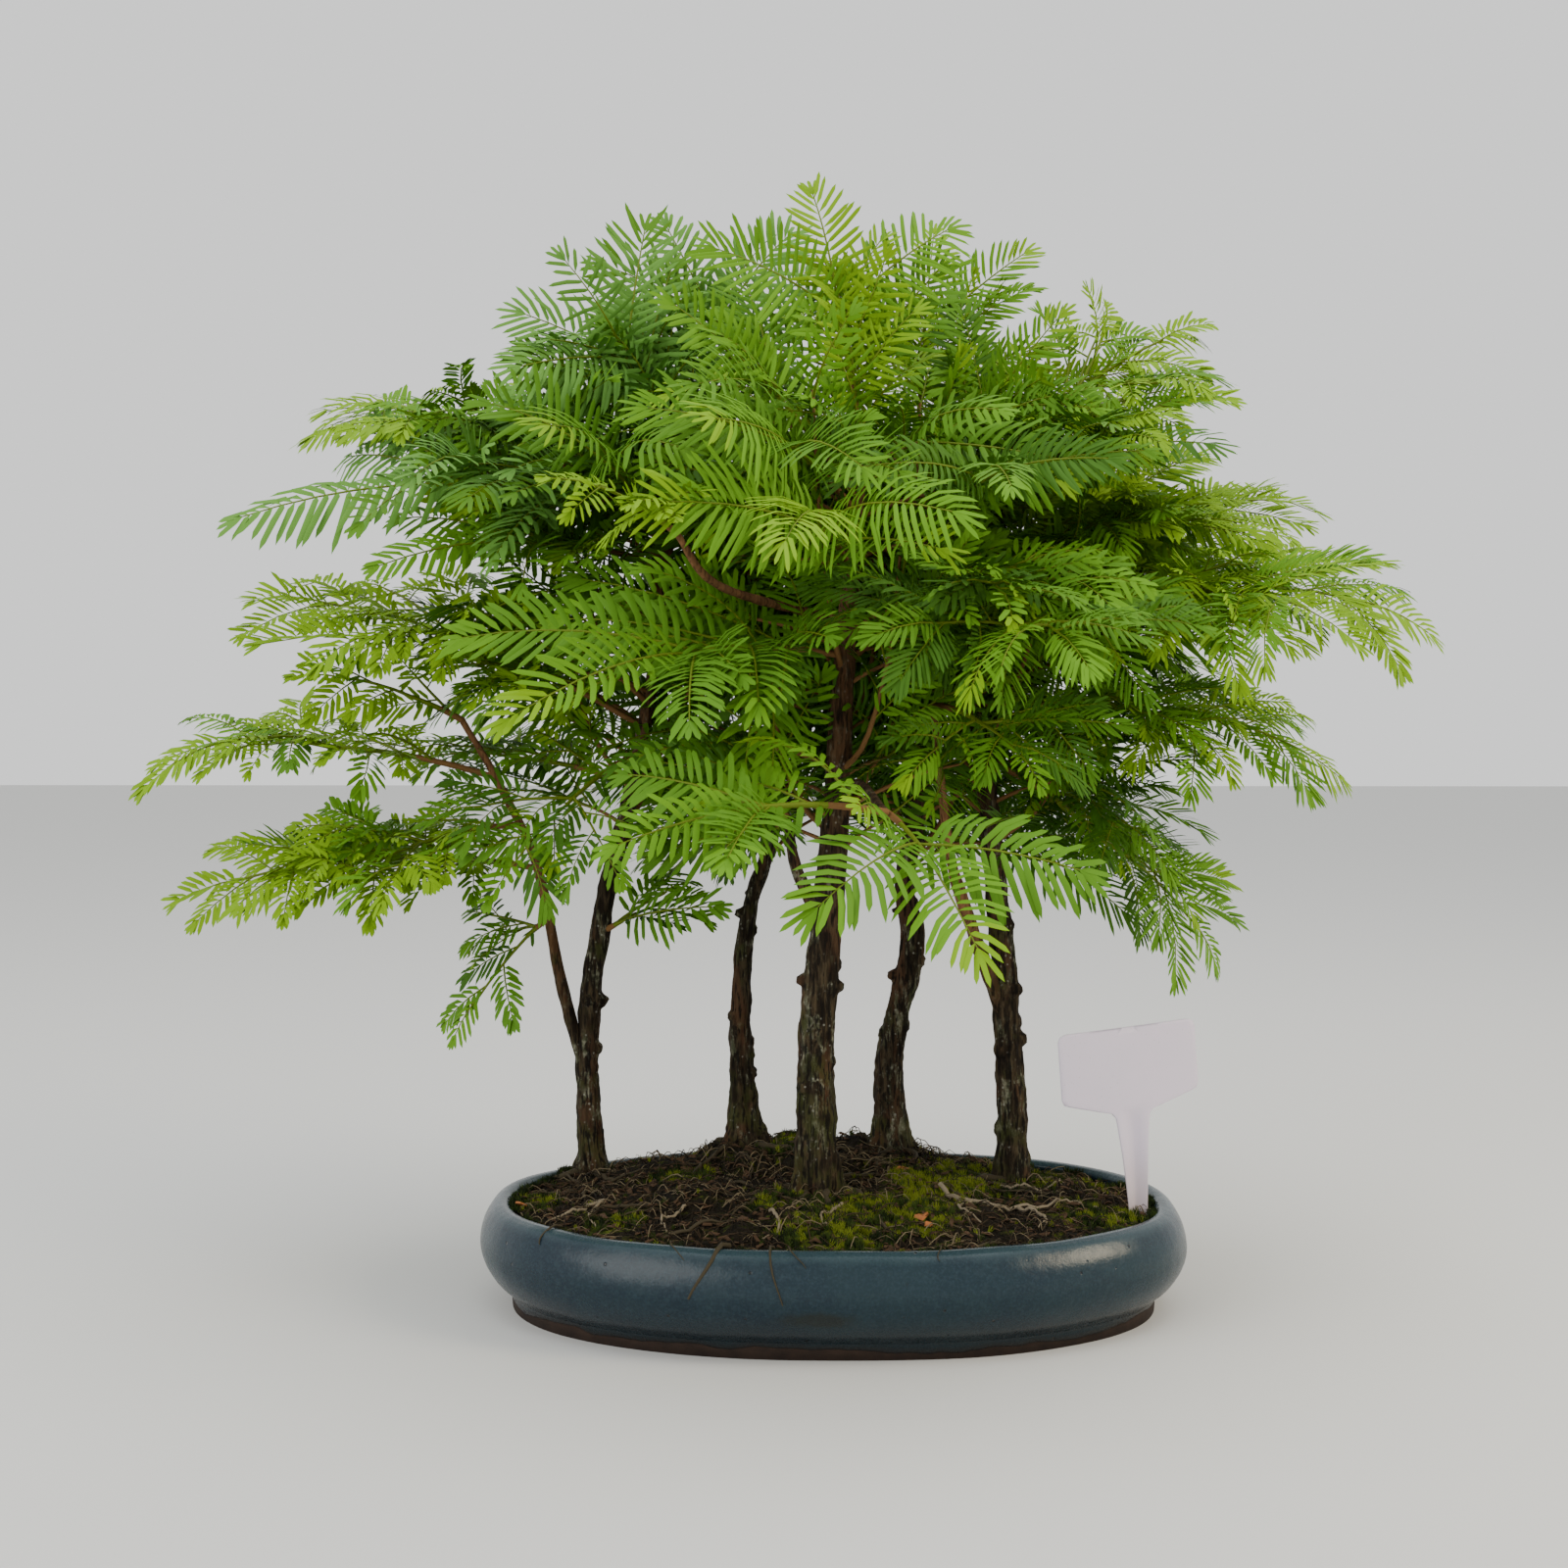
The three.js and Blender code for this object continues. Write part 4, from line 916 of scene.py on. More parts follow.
def hand_thrown(ring):
    """A ring of the pot, pushed a little out of true."""
    for point in ring:
        place = Vector(point) * SWAY_GRAIN
        point[:2] *= 1 + POT_WOBBLE * noise.noise(place)
        point[2] += LIP_SWAY * noise.noise(place * 1.4) * min(point[2] / FULL_SWAY, 1)
    return ring


def smooth_profile(points, steps):
    course = Course([(inset, height, 0) for inset, height in points])
    count = (len(points) - 1) * steps
    return [tuple(course.at(i / count)[:2]) for i in range(count + 1)]


class FOREST_OT_pot(bpy.types.Operator):
    """Turns the glazed pot, from its foot over the lip to the inside"""

    bl_idname = "forest.pot"
    bl_label = "Pot"

    def execute(self, context):
        profile = [*UNDERSIDE, *FOOT_WALL, *smooth_profile(BELLY, BELLY_STEPS),
                   *smooth_profile(LIP, LIP_STEPS), *INSIDE]
        rings = np.concatenate([hand_thrown(oval(*place)) for place in profile])
        glaze = glaze_finish(context.scene.forest_pot)
        loft("pot_shell", rings, POT_SIDES, glaze, "glaze", "pot")
        return {"FINISHED"}


# Soil


def plant_cushions():
    """Places and radii of the clumps of moss and litter, scattered as in the solid."""
    random = random_from(CUSHION_SEED)
    found = []
    for _ in range(CUSHION_COUNT):
        turn = 2 * math.pi * random()
        reach = CUSHION_REACH * math.sqrt(random())
        x = (POT_HALF[0] - CUSHION_INSET) * reach * math.cos(turn)
        y = (POT_HALF[1] - CUSHION_INSET) * reach * math.sin(turn)
        small, large = CUSHION_SIZES
        found.append((x, y, small + (large - small) * random()))
    return found


CUSHIONS = plant_cushions()


def outwards(x, y, inset):
    """How far out a place lies on the soil, where 1 is on the oval set in from the pot's."""
    return (abs(x / (POT_HALF[0] - inset)) ** POT_SQUARENESS
            + abs(y / (POT_HALF[1] - inset)) ** POT_SQUARENESS) ** (1 / POT_SQUARENESS)


def ground(x, y, lumps=1.6):
    """Height of the earth at a place, in millimetres: the solid's top, less the litter on it."""
    share = outwards(x, y, RIM_INSET)
    height = RIM_HEIGHT + HILL * (1 - min(share, 1) ** 2)
    inner = held((1 - share) / RIM_FADE, 0, 1)
    for mound_x, mound_y, radius, rise in MOUNDS:
        far = math.hypot(x - mound_x, y - mound_y) / radius
        height += inner * rise * math.exp(-far ** 2)
    clump = 0
    for clump_x, clump_y, radius in CUSHIONS:
        far = math.hypot(x - clump_x, y - clump_y) / radius
        clump = max(clump, CUSHION_RISE * math.exp(-(far / CUSHION_FILL) ** 4))
    height += clump * inner
    for sizes in TRUNKS.values():
        foot = sizes["course"][0]
        far = math.hypot(x - foot[0], y - foot[1])
        spread = max(far - sizes["foot"] * KNOLL_TOP, 0) / KNOLL_REACH
        knoll = math.exp(-spread ** 2)
        height += max(foot[2] - height, 0) * knoll
        height = min(height, foot[2] + KNOLL_DROP * (1 - knoll))
    place = Vector((x, y, 0))
    bumps = noise.fractal(place * 0.09, 0.8, 2, 4) + noise.noise(place * 0.4) * 0.5
    return height - LITTER_DEPTH + bumps * lumps * (0.2 + 0.8 * inner)


class FOREST_OT_soil(bpy.types.Operator):
    """Fills the pot with lumpy earth that rises to a knoll under each trunk"""

    bl_idname = "forest.soil"
    bl_label = "Soil"

    def execute(self, context):
        soil = context.scene.forest_soil
        rings = [oval(RIM_INSET - SKIRT_OUT, height, SOIL_SIDES) for height in SOIL_SKIRT]
        rim = oval(RIM_INSET, 0, SOIL_SIDES)
        for ring in range(SOIL_RINGS):
            share = 1 - ring / SOIL_RINGS
            rings.append([[x, y, ground(x, y, soil.roughness / MM)] for x, y, _ in rim * share])
        loft("soil_bed", np.concatenate(rings), SOIL_SIDES, soil_finish(soil), "soil", "soil")
        return {"FINISHED"}


# Things that follow paths, by Geometry Nodes


def node_group(name, inputs):
    """An empty Geometry Nodes tree, its nodes for input and output, and its inputs' identifiers."""
    tree = bpy.data.node_groups.new(name, "GeometryNodeTree")
    tree.interface.new_socket("Geometry", in_out="INPUT", socket_type="NodeSocketGeometry")
    names = {}
    for label, kind in inputs.items():
        socket = tree.interface.new_socket(label, in_out="INPUT", socket_type=kind)
        names[label] = socket.identifier
    tree.interface.new_socket("Geometry", in_out="OUTPUT", socket_type="NodeSocketGeometry")
    return tree, tree.nodes.new("NodeGroupInput"), tree.nodes.new("NodeGroupOutput"), names


def end_group(tree, geometry, material, last):
    real = add_node(tree, "GeometryNodeRealizeInstances", {"Geometry": geometry})
    painted = add_node(
        tree, "GeometryNodeSetMaterial",
        {"Geometry": real.outputs["Geometry"], "Material": material})
    tree.links.new(painted.outputs["Geometry"], last.inputs["Geometry"])


def path_tubes():
    """Turns lines with a radius at every point into tubes."""
    tree, first, last, names = node_group(
        "Tubes along paths", {"Sides": "NodeSocketInt", "Material": "NodeSocketMaterial"})
    curve = add_node(tree, "GeometryNodeMeshToCurve", {"Mesh": first.outputs["Geometry"]})
    size = add_node(tree, "GeometryNodeInputNamedAttribute", {"Name": "thick"}, data_type="FLOAT")
    sized = add_node(tree, "GeometryNodeSetCurveRadius", {
        "Curve": curve.outputs["Curve"], "Radius": size.outputs["Attribute"]})
    section = add_node(tree, "GeometryNodeCurvePrimitiveCircle", {
        "Resolution": first.outputs["Sides"], "Radius": 1.0})
    tube = add_node(tree, "GeometryNodeCurveToMesh", {
        "Curve": sized.outputs["Curve"], "Profile Curve": section.outputs["Curve"],
        "Fill Caps": True})
    if "Scale" in tube.inputs:
        tree.links.new(size.outputs["Attribute"], tube.inputs["Scale"])
    smooth = add_node(tree, "GeometryNodeSetShadeSmooth", {"Geometry": tube.outputs["Mesh"]})
    end_group(tree, smooth.outputs["Geometry"], first.outputs["Material"], last)
    return tree, names


def through_nodes(name, mesh, group, names, values):
    """Runs a mesh through a tree and keeps the result as a plain mesh."""
    source = new_object(name + "_paths", mesh)
    modifier = source.modifiers.new("Growth", "NODES")
    modifier.node_group = group
    for label, value in values.items():
        modifier[names[label]] = value
    bpy.context.view_layer.update()
    seen = source.evaluated_get(bpy.context.evaluated_depsgraph_get())
    made = bpy.data.meshes.new_from_object(seen)
    source.modifiers.remove(modifier)
    bpy.data.objects.remove(source)
    made.name = name
    return new_object(name, made)


def paths_mesh(name, paths):
    """A mesh of lines from (points, radii) in millimetres, with the radii kept at the points."""
    points = np.concatenate([line for line, _ in paths]) * MM
    thick = np.concatenate([radii for _, radii in paths]) * MM
    edges, first = [], 0
    for line, _ in paths:
        steps = np.arange(first, first + len(line) - 1)
        edges.append(np.stack([steps, steps + 1], -1))
        first += len(line)
    edges = np.concatenate(edges).astype(np.int32)
    mesh = bpy.data.meshes.new(name)
    mesh.vertices.add(len(points))
    mesh.vertices.foreach_set("co", points.astype(np.float32).ravel())
    mesh.edges.add(len(edges))
    mesh.edges.foreach_set("vertices", edges.ravel())
    mesh.attributes.new("thick", "FLOAT", "POINT").data.foreach_set(
        "value", thick.astype(np.float32))
    mesh.update()
    return mesh


def tubes(name, paths, sides, material, slot):
    """A piece of tubes along paths, that stands for none of the solids' nodes."""
    group, names = path_tubes()
    piece = through_nodes(
        name, paths_mesh(name, paths), group, names, {"Sides": sides, "Material": material})
    return finish_piece(piece, slot)


# Litter


def scatter_group():
    """Sets a shape on every point, turned and sized at random."""
    tree, first, last, names = node_group("Scatter", {
        "Shape": "NodeSocketObject", "Size": "NodeSocketFloat", "Seed": "NodeSocketInt",
        "Material": "NodeSocketMaterial"})
    shape = add_node(tree, "GeometryNodeObjectInfo", {"Object": first.outputs["Shape"]})
    spin = add_node(tree, "FunctionNodeRandomValue", {
        0: (-0.5, -0.5, 0.0), 1: (0.5, 0.5, FULL_TURN), "Seed": first.outputs["Seed"]},
        data_type="FLOAT_VECTOR")
    size = add_node(tree, "FunctionNodeRandomValue", {
        2: 0.6, 3: 1.35, "Seed": first.outputs["Seed"]}, data_type="FLOAT")
    scale = add_node(tree, "ShaderNodeMath", {
        0: size.outputs[1], 1: first.outputs["Size"]}, operation="MULTIPLY")
    points = add_node(tree, "GeometryNodeMeshToPoints", {"Mesh": first.outputs["Geometry"]})
    placed = add_node(tree, "GeometryNodeInstanceOnPoints", {
        "Points": points.outputs["Points"], "Instance": shape.outputs["Geometry"],
        "Rotation": spin.outputs[0], "Scale": scale.outputs[0]})
    end_group(tree, placed.outputs["Instances"], first.outputs["Material"], last)
    return tree, names


def tuft_mesh():
    """A small clump of moss: blades that lean out from one point."""
    points, faces = [], []
    for blade in range(TUFT_BLADES):
        out = compass_way(GOLDEN_TURN * blade)
        side = np.cross(UP, out) * 0.32
        tip = out * (0.25 + 0.11 * blade) * 1.6 + UP * (2.1 - 0.12 * blade)
        base = out * 0.15 - UP * 0.5
        points += [base - side, base + side, base + out * 0.4, tip]
        at = 4 * blade
        faces += [(at, at + 1, at + 3), (at + 1, at + 2, at + 3), (at + 2, at, at + 3)]
    return mesh_from("tuft", points, faces, smooth=False)


def chip_mesh():
    """A flat flake of bark or dry needle."""
    points = [(-2.2, -0.7, 0), (1.6, -0.9, 0.3), (2.4, 0.3, 0), (-1.4, 0.9, 0.4),
              (-2.0, -0.5, 0.45), (1.5, -0.7, 0.7), (2.2, 0.3, 0.4), (-1.3, 0.7, 0.8)]
    faces = [(0, 3, 2, 1), (4, 5, 6, 7), (0, 1, 5, 4), (1, 2, 6, 5), (2, 3, 7, 6), (3, 0, 4, 7)]
    return mesh_from("chip", points, faces, smooth=False)


def mossy(x, y):
    """How much moss grows at a place, from below 0 to about 1."""
    patch = max(1 - math.hypot(x - moss_x, y - moss_y) / reach for moss_x, moss_y, reach in MOSS)
    return patch + 0.7 * noise.fractal(Vector((x, y, 3.0)) * 0.07, 0.8, 2, 3)


def in_pot(random, inset):
    """A random place on the soil."""
    while True:
        x = (2 * random() - 1) * (POT_HALF[0] - inset)
        y = (2 * random() - 1) * (POT_HALF[1] - inset)
        if outwards(x, y, inset) < 1:
            return x, y


def scatter(name, places, shape, size, seed, material):
    """A piece of many copies of a small shape, one at each place in millimetres."""
    points = bpy.data.meshes.new(name)
    points.from_pydata([tuple(np.array(place) * MM) for place in places], [], [])
    holder = new_object(name + "_shape", shape)
    group, names = scatter_group()
    piece = through_nodes(name, points, group, names, {
        "Shape": holder, "Size": size, "Seed": seed, "Material": material})
    bpy.data.objects.remove(holder)
    return finish_piece(piece, "soil")


def crawling_path(x, y, heading, length, thickness, random, lift, steps, wander=0.9):
    """A thin root or fibre that lies on the soil and wanders, and is lifted in its middle."""
    line = []
    for step in range(steps):
        arch = lift * math.sin(math.pi * step / (steps - 1))
        line.append((x, y, ground(x, y) + thickness * 0.6 + arch))
        heading += (random() - 0.5) * wander
        x += math.cos(heading) * length / steps
        y += math.sin(heading) * length / steps
        over = max(outwards(x, y, RIM_INSET + 1.5), 1)
        x, y = x / over, y / over
    shares = np.linspace(0, 1, steps)
    return np.array(line), thickness * (1 - 0.7 * shares ** 2)


def moss_kind(shade):
    if shade < MOSS_FROM:
        return "moss_dark"
    return "moss" if shade < BRIGHT_FROM else "moss_bright"


def hanging_root(x, drop, sway, thickness):
    """A thin root that runs over the front lip and down the pot."""
    insets, heights = zip(*HANG_WALL)
    shares = np.linspace(0, 1, HANG_POINTS)
    line = []
    for share in shares:
        if share < HANG_OVER:
            inset, height = (start + (top - start) * share / HANG_OVER
                             for start, top in zip(HANG_START, HANG_TOP))
        else:
            height = HANG_TOP[1] - drop * (share - HANG_OVER) / (1 - HANG_OVER)
            inset = np.interp(height, heights, insets) - HANG_OFF
        place_x = x + sway * share + 1.6 * math.sin(5 * share + x)
        along = min(abs(place_x) / (POT_HALF[0] - inset), 1)
        y = -(POT_HALF[1] - inset) * (1 - along ** POT_SQUARENESS) ** (1 / POT_SQUARENESS)
        line.append((place_x, y, height))
    return np.array(line), thickness * (1 - ROOT_TAPER * shares)


def root_along(thickness, points):
    """A root that lies on the soil through some points."""
    course = Course([(x, y, 0) for x, y in points])
    shares = np.linspace(0, 1, 9 * len(points))
    line = []
    for x, y, _ in line_on(course, shares):
        sway = 2 * noise.fractal(Vector((x * 0.16, y * 0.16, 5.0)), 0.7, 2, 3)
        line.append((x, y + sway, ground(x, y) + 1.1 + thickness * 0.4 + 0.5 * sway))
    return np.array(line), thickness * (1 - ROOT_TAPER * shares)


class FOREST_OT_litter(bpy.types.Operator):
    """Covers the soil with moss, chips, fibres and thin roots"""

    bl_idname = "forest.litter"
    bl_label = "Moss and litter"

    def execute(self, context):
        soil = context.scene.forest_soil
        random = random_from(soil.seed)
        self.moss(random)
        self.chips(random)
        self.fibres(soil.fibres, random)
        self.roots(random)
        return {"FINISHED"}

    def moss(self, random):
        """Tufts in three greens: on the mossy patches, and here and there along the rim."""
        tufts = {kind: [] for kind in MOSS_COLORS}
        for _ in range(TUFTS):
            x, y = in_pot(random, TUFT_INSET)
            far = math.hypot(x - BRIGHT_MOSS[0], y - BRIGHT_MOSS[1]) / BRIGHT_REACH
            shade = noise.fractal(Vector((x, y, 9.0)) * 0.13, 0.8, 2, 3) + 0.3 * random()
            shade += 0.7 * math.exp(-far ** 2)
            if mossy(x, y) > drawn(random, *TUFTS_FROM) or random() < STRAY_TUFTS:
                tufts[moss_kind(shade)].append((x, y, ground(x, y) + 0.6 * random()))
        for turn in np.linspace(0, 2 * math.pi, RIM_TUFTS, endpoint=False):
            x, y = on_oval(turn + 0.02 * random(), RIM_INSET - 0.6 + 3.4 * random() ** 2)
            kind = "moss_dark" if random() < RIM_DARK_SHARE else "moss"
            if noise.noise(Vector((x, y, 1.0)) * 0.09) > RIM_GAPS:
                tufts[kind].append((x, y, ground(x, y) + RIM_TUFT_LIFT))
        for seed, (kind, places) in enumerate(tufts.items()):
            green = plain_finish(kind + "_green", MOSS_COLORS[kind], 0.9)
            scatter(kind, places, tuft_mesh(), TUFT_SIZE, 3 + seed, green)

    def chips(self, random):
        """Dry flakes everywhere, and a few large fresh ones."""
        places = [in_pot(random, CHIP_INSET) for _ in range(CHIPS)]
        dry = [(x, y, ground(x, y) + CHIP_LIFT) for x, y in places]
        fresh = [(x, y, ground(x, y) + ORANGE_LIFT) for x, y in ORANGE_CHIPS]
        scatter("chips", dry, chip_mesh(), CHIP_SIZE, 6,
                plain_finish("dry_chips", CHIP_COLOR, 0.85))
        scatter("orange_chips", fresh, chip_mesh(), ORANGE_SIZE, 7,
                plain_finish("fresh_chips", ORANGE_COLOR, 0.8))

    def fibres(self, count, random):
        """Loose fibres of three colours, flat or sticking up, fewer where there is moss."""
        lines = {kind: [] for kind in FIBRES}
        for _ in range(count):
            x, y = in_pot(random, FIBRE_INSET)
            if mossy(x, y) > FIBRES_FEWER_FROM and random() < FIBRES_FEWER:
                continue
            kind = "dark" if random() < DARK_SHARE else (
                "brown" if random() < BROWN_SHARE else "pale")
            lines[kind].append(crawling_path(
                x, y, FULL_TURN * random(), drawn(random, *FIBRE_LENGTH),
                drawn(random, *FIBRE_THICKNESS), random, 0.3 + 4 * random() ** 2, 6,
                0.9 * random()))
        for kind, paths in lines.items():
            skin = plain_finish(f"{kind}_fibre", FIBRES[kind], 0.9)
            tubes(f"fibres_{kind}", paths, FIBRE_SIDES, skin, "soil")

    def roots(self, random):
        """Thin roots: loose, from the trunks, over the lip, and bare pale ones."""
        roots = []
        for _ in range(LOOSE_ROOTS):
            x, y = in_pot(random, ROOT_INSET)
            roots.append(crawling_path(
                x, y, FULL_TURN * random(), drawn(random, *ROOT_LENGTH),
                drawn(random, *ROOT_THICKNESS), random, 1.2, 12))
        for sizes in TRUNKS.values():
            foot = np.array(sizes["course"][0])
            for root in range(TRUNK_ROOTS):
                heading = FIFTH_TURN * root + random()
                x, y, _ = foot + compass_way(heading) * (sizes["foot"] * 0.36)
                roots.append(crawling_path(
                    x, y, heading, drawn(random, *TRUNK_ROOT_LENGTH),
                    drawn(random, *TRUNK_ROOT_THICKNESS), random, 0.2, 10))
        roots += [hanging_root(*place) for place in HANGING]
        bare = [root_along(*root) for root in BARE_ROOTS]
        tubes("soil_roots", roots, ROOT_SIDES, plain_finish("root_skin", ROOT_SKIN, 0.85), "soil")
        tubes("bare_roots", bare, ROOT_SIDES, plain_finish("bare_root", BARE_ROOT_SKIN, 0.85),
              "soil")


# Label


class FOREST_OT_label(bpy.types.Operator):
    """Cuts the bare T-shaped label, with a crease along its stem"""

    bl_idname = "forest.label"
    bl_label = "Label"

    def execute(self, context):
        label = context.scene.forest_label
        half = np.array(LABEL_HALF, float)
        edge = np.concatenate([half, half[::-1] * (-1, 1)])
        rings = []
        for side, levels in ((-1, LABEL_RINGS[::-1]), (1, LABEL_RINGS)):
            for level, half_thick in levels:
                y = np.full(len(edge), side * half_thick)
                rings.append(np.stack([edge[:, 0] * level, y, edge[:, 1]], -1))
        points = self.placed(self.creased(np.concatenate(rings), label.crease / MM))
        loft("label_blade", points, len(edge), label_finish(label), "label_plastic", "label")
        return {"FINISHED"}

    def creased(self, points, depth):
        """The blade folded along its stem, and its head bent a little."""
        fold = np.clip(1 - np.abs(points[:, 0]) / CREASE_HALF, 0, 1)
        fold *= np.clip((CREASE_END - points[:, 2]) / CREASE_FADE, 0, 1)
        points[:, 1] += depth * fold + LABEL_BEND * (points[:, 0] ** 2)
        return points

    def placed(self, points):
        """The blade tilted in its own plane, turned about the upright and set in the soil."""
        x, y, z = points.T
        roll, turn = math.radians(LABEL_ROLL), math.radians(LABEL_TURN)
        x, z = (x * math.cos(roll) - z * math.sin(roll), x * math.sin(roll) + z * math.cos(roll))
        x, y = (x * math.cos(turn) - y * math.sin(turn), x * math.sin(turn) + y * math.cos(turn))
        return np.stack([x, y, z], -1) + LABEL_PLACE


# Wood


def ring_ways(limb, share, level):
    """Two ways across a limb: a trunk's rings lie level, a bough's are square to it."""
    if level:
        return np.array([1.0, 0, 0]), np.array([0, 1.0, 0])
    along = limb.course.along(share)
    right = unit(np.cross(along, FRONT if abs(along[2]) > 0.9 else UP))
    return right, np.cross(along, right)


def ridged(limb, share, radius, ridge):
    """A trunk's radius where its lobes stand out by some share from -1 to 1, strongest low."""
    low = math.exp(-share * limb.tall / ROOT_RIDGE_HEIGHT)
    return (radius * (1 + LOBE_DEPTH * math.exp(-share * LOBE_FADING) * ridge)
            + ROOT_RIDGE * low * max(ridge, -0.2))


def flaking(place, radius, share, depth):
    """How far plates, flakes, lumps and twists push the bark out at a place."""

    def grain(across, up):
        return Vector((place.x * across, place.y * across, place.z * up))

    plates = noise.fractal(grain(*PLATE_GRAIN), 1.1, 2.1, 4)
    flakes = noise.noise(grain(*FLAKE_GRAIN))
    lumps = noise.noise(place * LUMP_GRAIN)
    twist = noise.noise(grain(*TWIST_GRAIN)) * (1 - 0.7 * share)
    worn = 1 - 0.5 * held((place.z - SMOOTH_FROM) / SMOOTH_OVER, 0, 1)
    return (depth * worn * (PLATES * plates + FLAKES * abs(flakes))
            + radius * (LUMPS * lumps + TWISTS * twist))


def scarred(limb, stubs, share, turn, radius):
    """How far pruned stubs and scars of twigs stand out there, each with a hollow end."""
    push = 0
    for at, compass, length in stubs:
        swing = math.radians((math.degrees(turn) - compass + 180) % 360 - 180)
        far = math.hypot((share - at) * limb.tall / STUB_RADIUS, swing * radius / STUB_RADIUS)
        if far < SCAR_FELT:
            push += ((length + SCAR_SWELL) * math.exp(-far ** 4)
                     - SCAR_HOLLOW * math.exp(-(far * HOLLOW_NARROW) ** 2))
    return push


def bark_points(limb, rings, sides, relief, buried=0.0, lobes=0, phase=0.0, stubs=()):
    """Rings of points round a limb, with flaking plates, scars and root ridges."""
    points = []
    for ring in range(rings):
        share = (1 + buried) * ring / (rings - 1) - buried
        inside = max(share, 0)
        centre = limb.course.at(inside)
        if share < 0:
            centre = centre + UP * (share * limb.tall)
        radius = limb.radius(inside)
        right, over = ring_ways(limb, inside, lobes > 0)
        depth = relief * min(1, radius / FULL_RELIEF_RADIUS)
        for side in range(sides):
            turn = 2 * math.pi * side / sides
            out = between(right, over, turn)
            wide = radius
            if lobes:
                wide = ridged(limb, inside, radius, math.cos(lobes * turn + phase))
            wide += flaking(Vector(centre + out * radius), radius, inside, depth)
            wide += scarred(limb, stubs, inside, turn, radius)
            points.append(centre + out * wide)
    return np.array(points)


def twig_scars(name):
    """Small scars of shed twigs: their share of a trunk, compass angle and length."""
    random = random_from(len(name) * 7)
    return [(drawn(random, *SCAR_SHARE), 360 * random(), drawn(random, *SCAR_LENGTH))
            for _ in range(TWIG_SCARS)]


class FOREST_OT_wood(bpy.types.Operator):
    """Grows the five trunks and five boughs with flaking bark"""

    bl_idname = "forest.wood"
    bl_label = "Trunks and boughs"

    def execute(self, context):
        bark = context.scene.forest_bark
        relief = bark.relief / MM
        trunk_bark = bark_finish(bark, "flaking_bark", 0.36, 0.16)
        bough_bark = bark_finish(bark, "bough_bark", 0.19, 0.09)
        for name, sizes in TRUNKS.items():
            limb = LIMBS[name]
            points = bark_points(
                limb, TRUNK_RINGS, TRUNK_SIDES, relief, TRUNK_BURIED / limb.tall,
                sizes["lobes"], sizes["foot"], sizes["stubs"] + twig_scars(name))
            loft(f"{name}_trunk_bark", points, TRUNK_SIDES, trunk_bark, "bark", f"trunk_{name}")
        for name in BOUGHS:
            points = bark_points(LIMBS[name], BOUGH_RINGS, BOUGH_SIDES, relief * BOUGH_RELIEF)
            skin = trunk_bark if name in OLD_BOUGHS else bough_bark
            loft(f"{name}_bark", points, BOUGH_SIDES, skin, "young_bark", name)
        return {"FINISHED"}


# Foliage


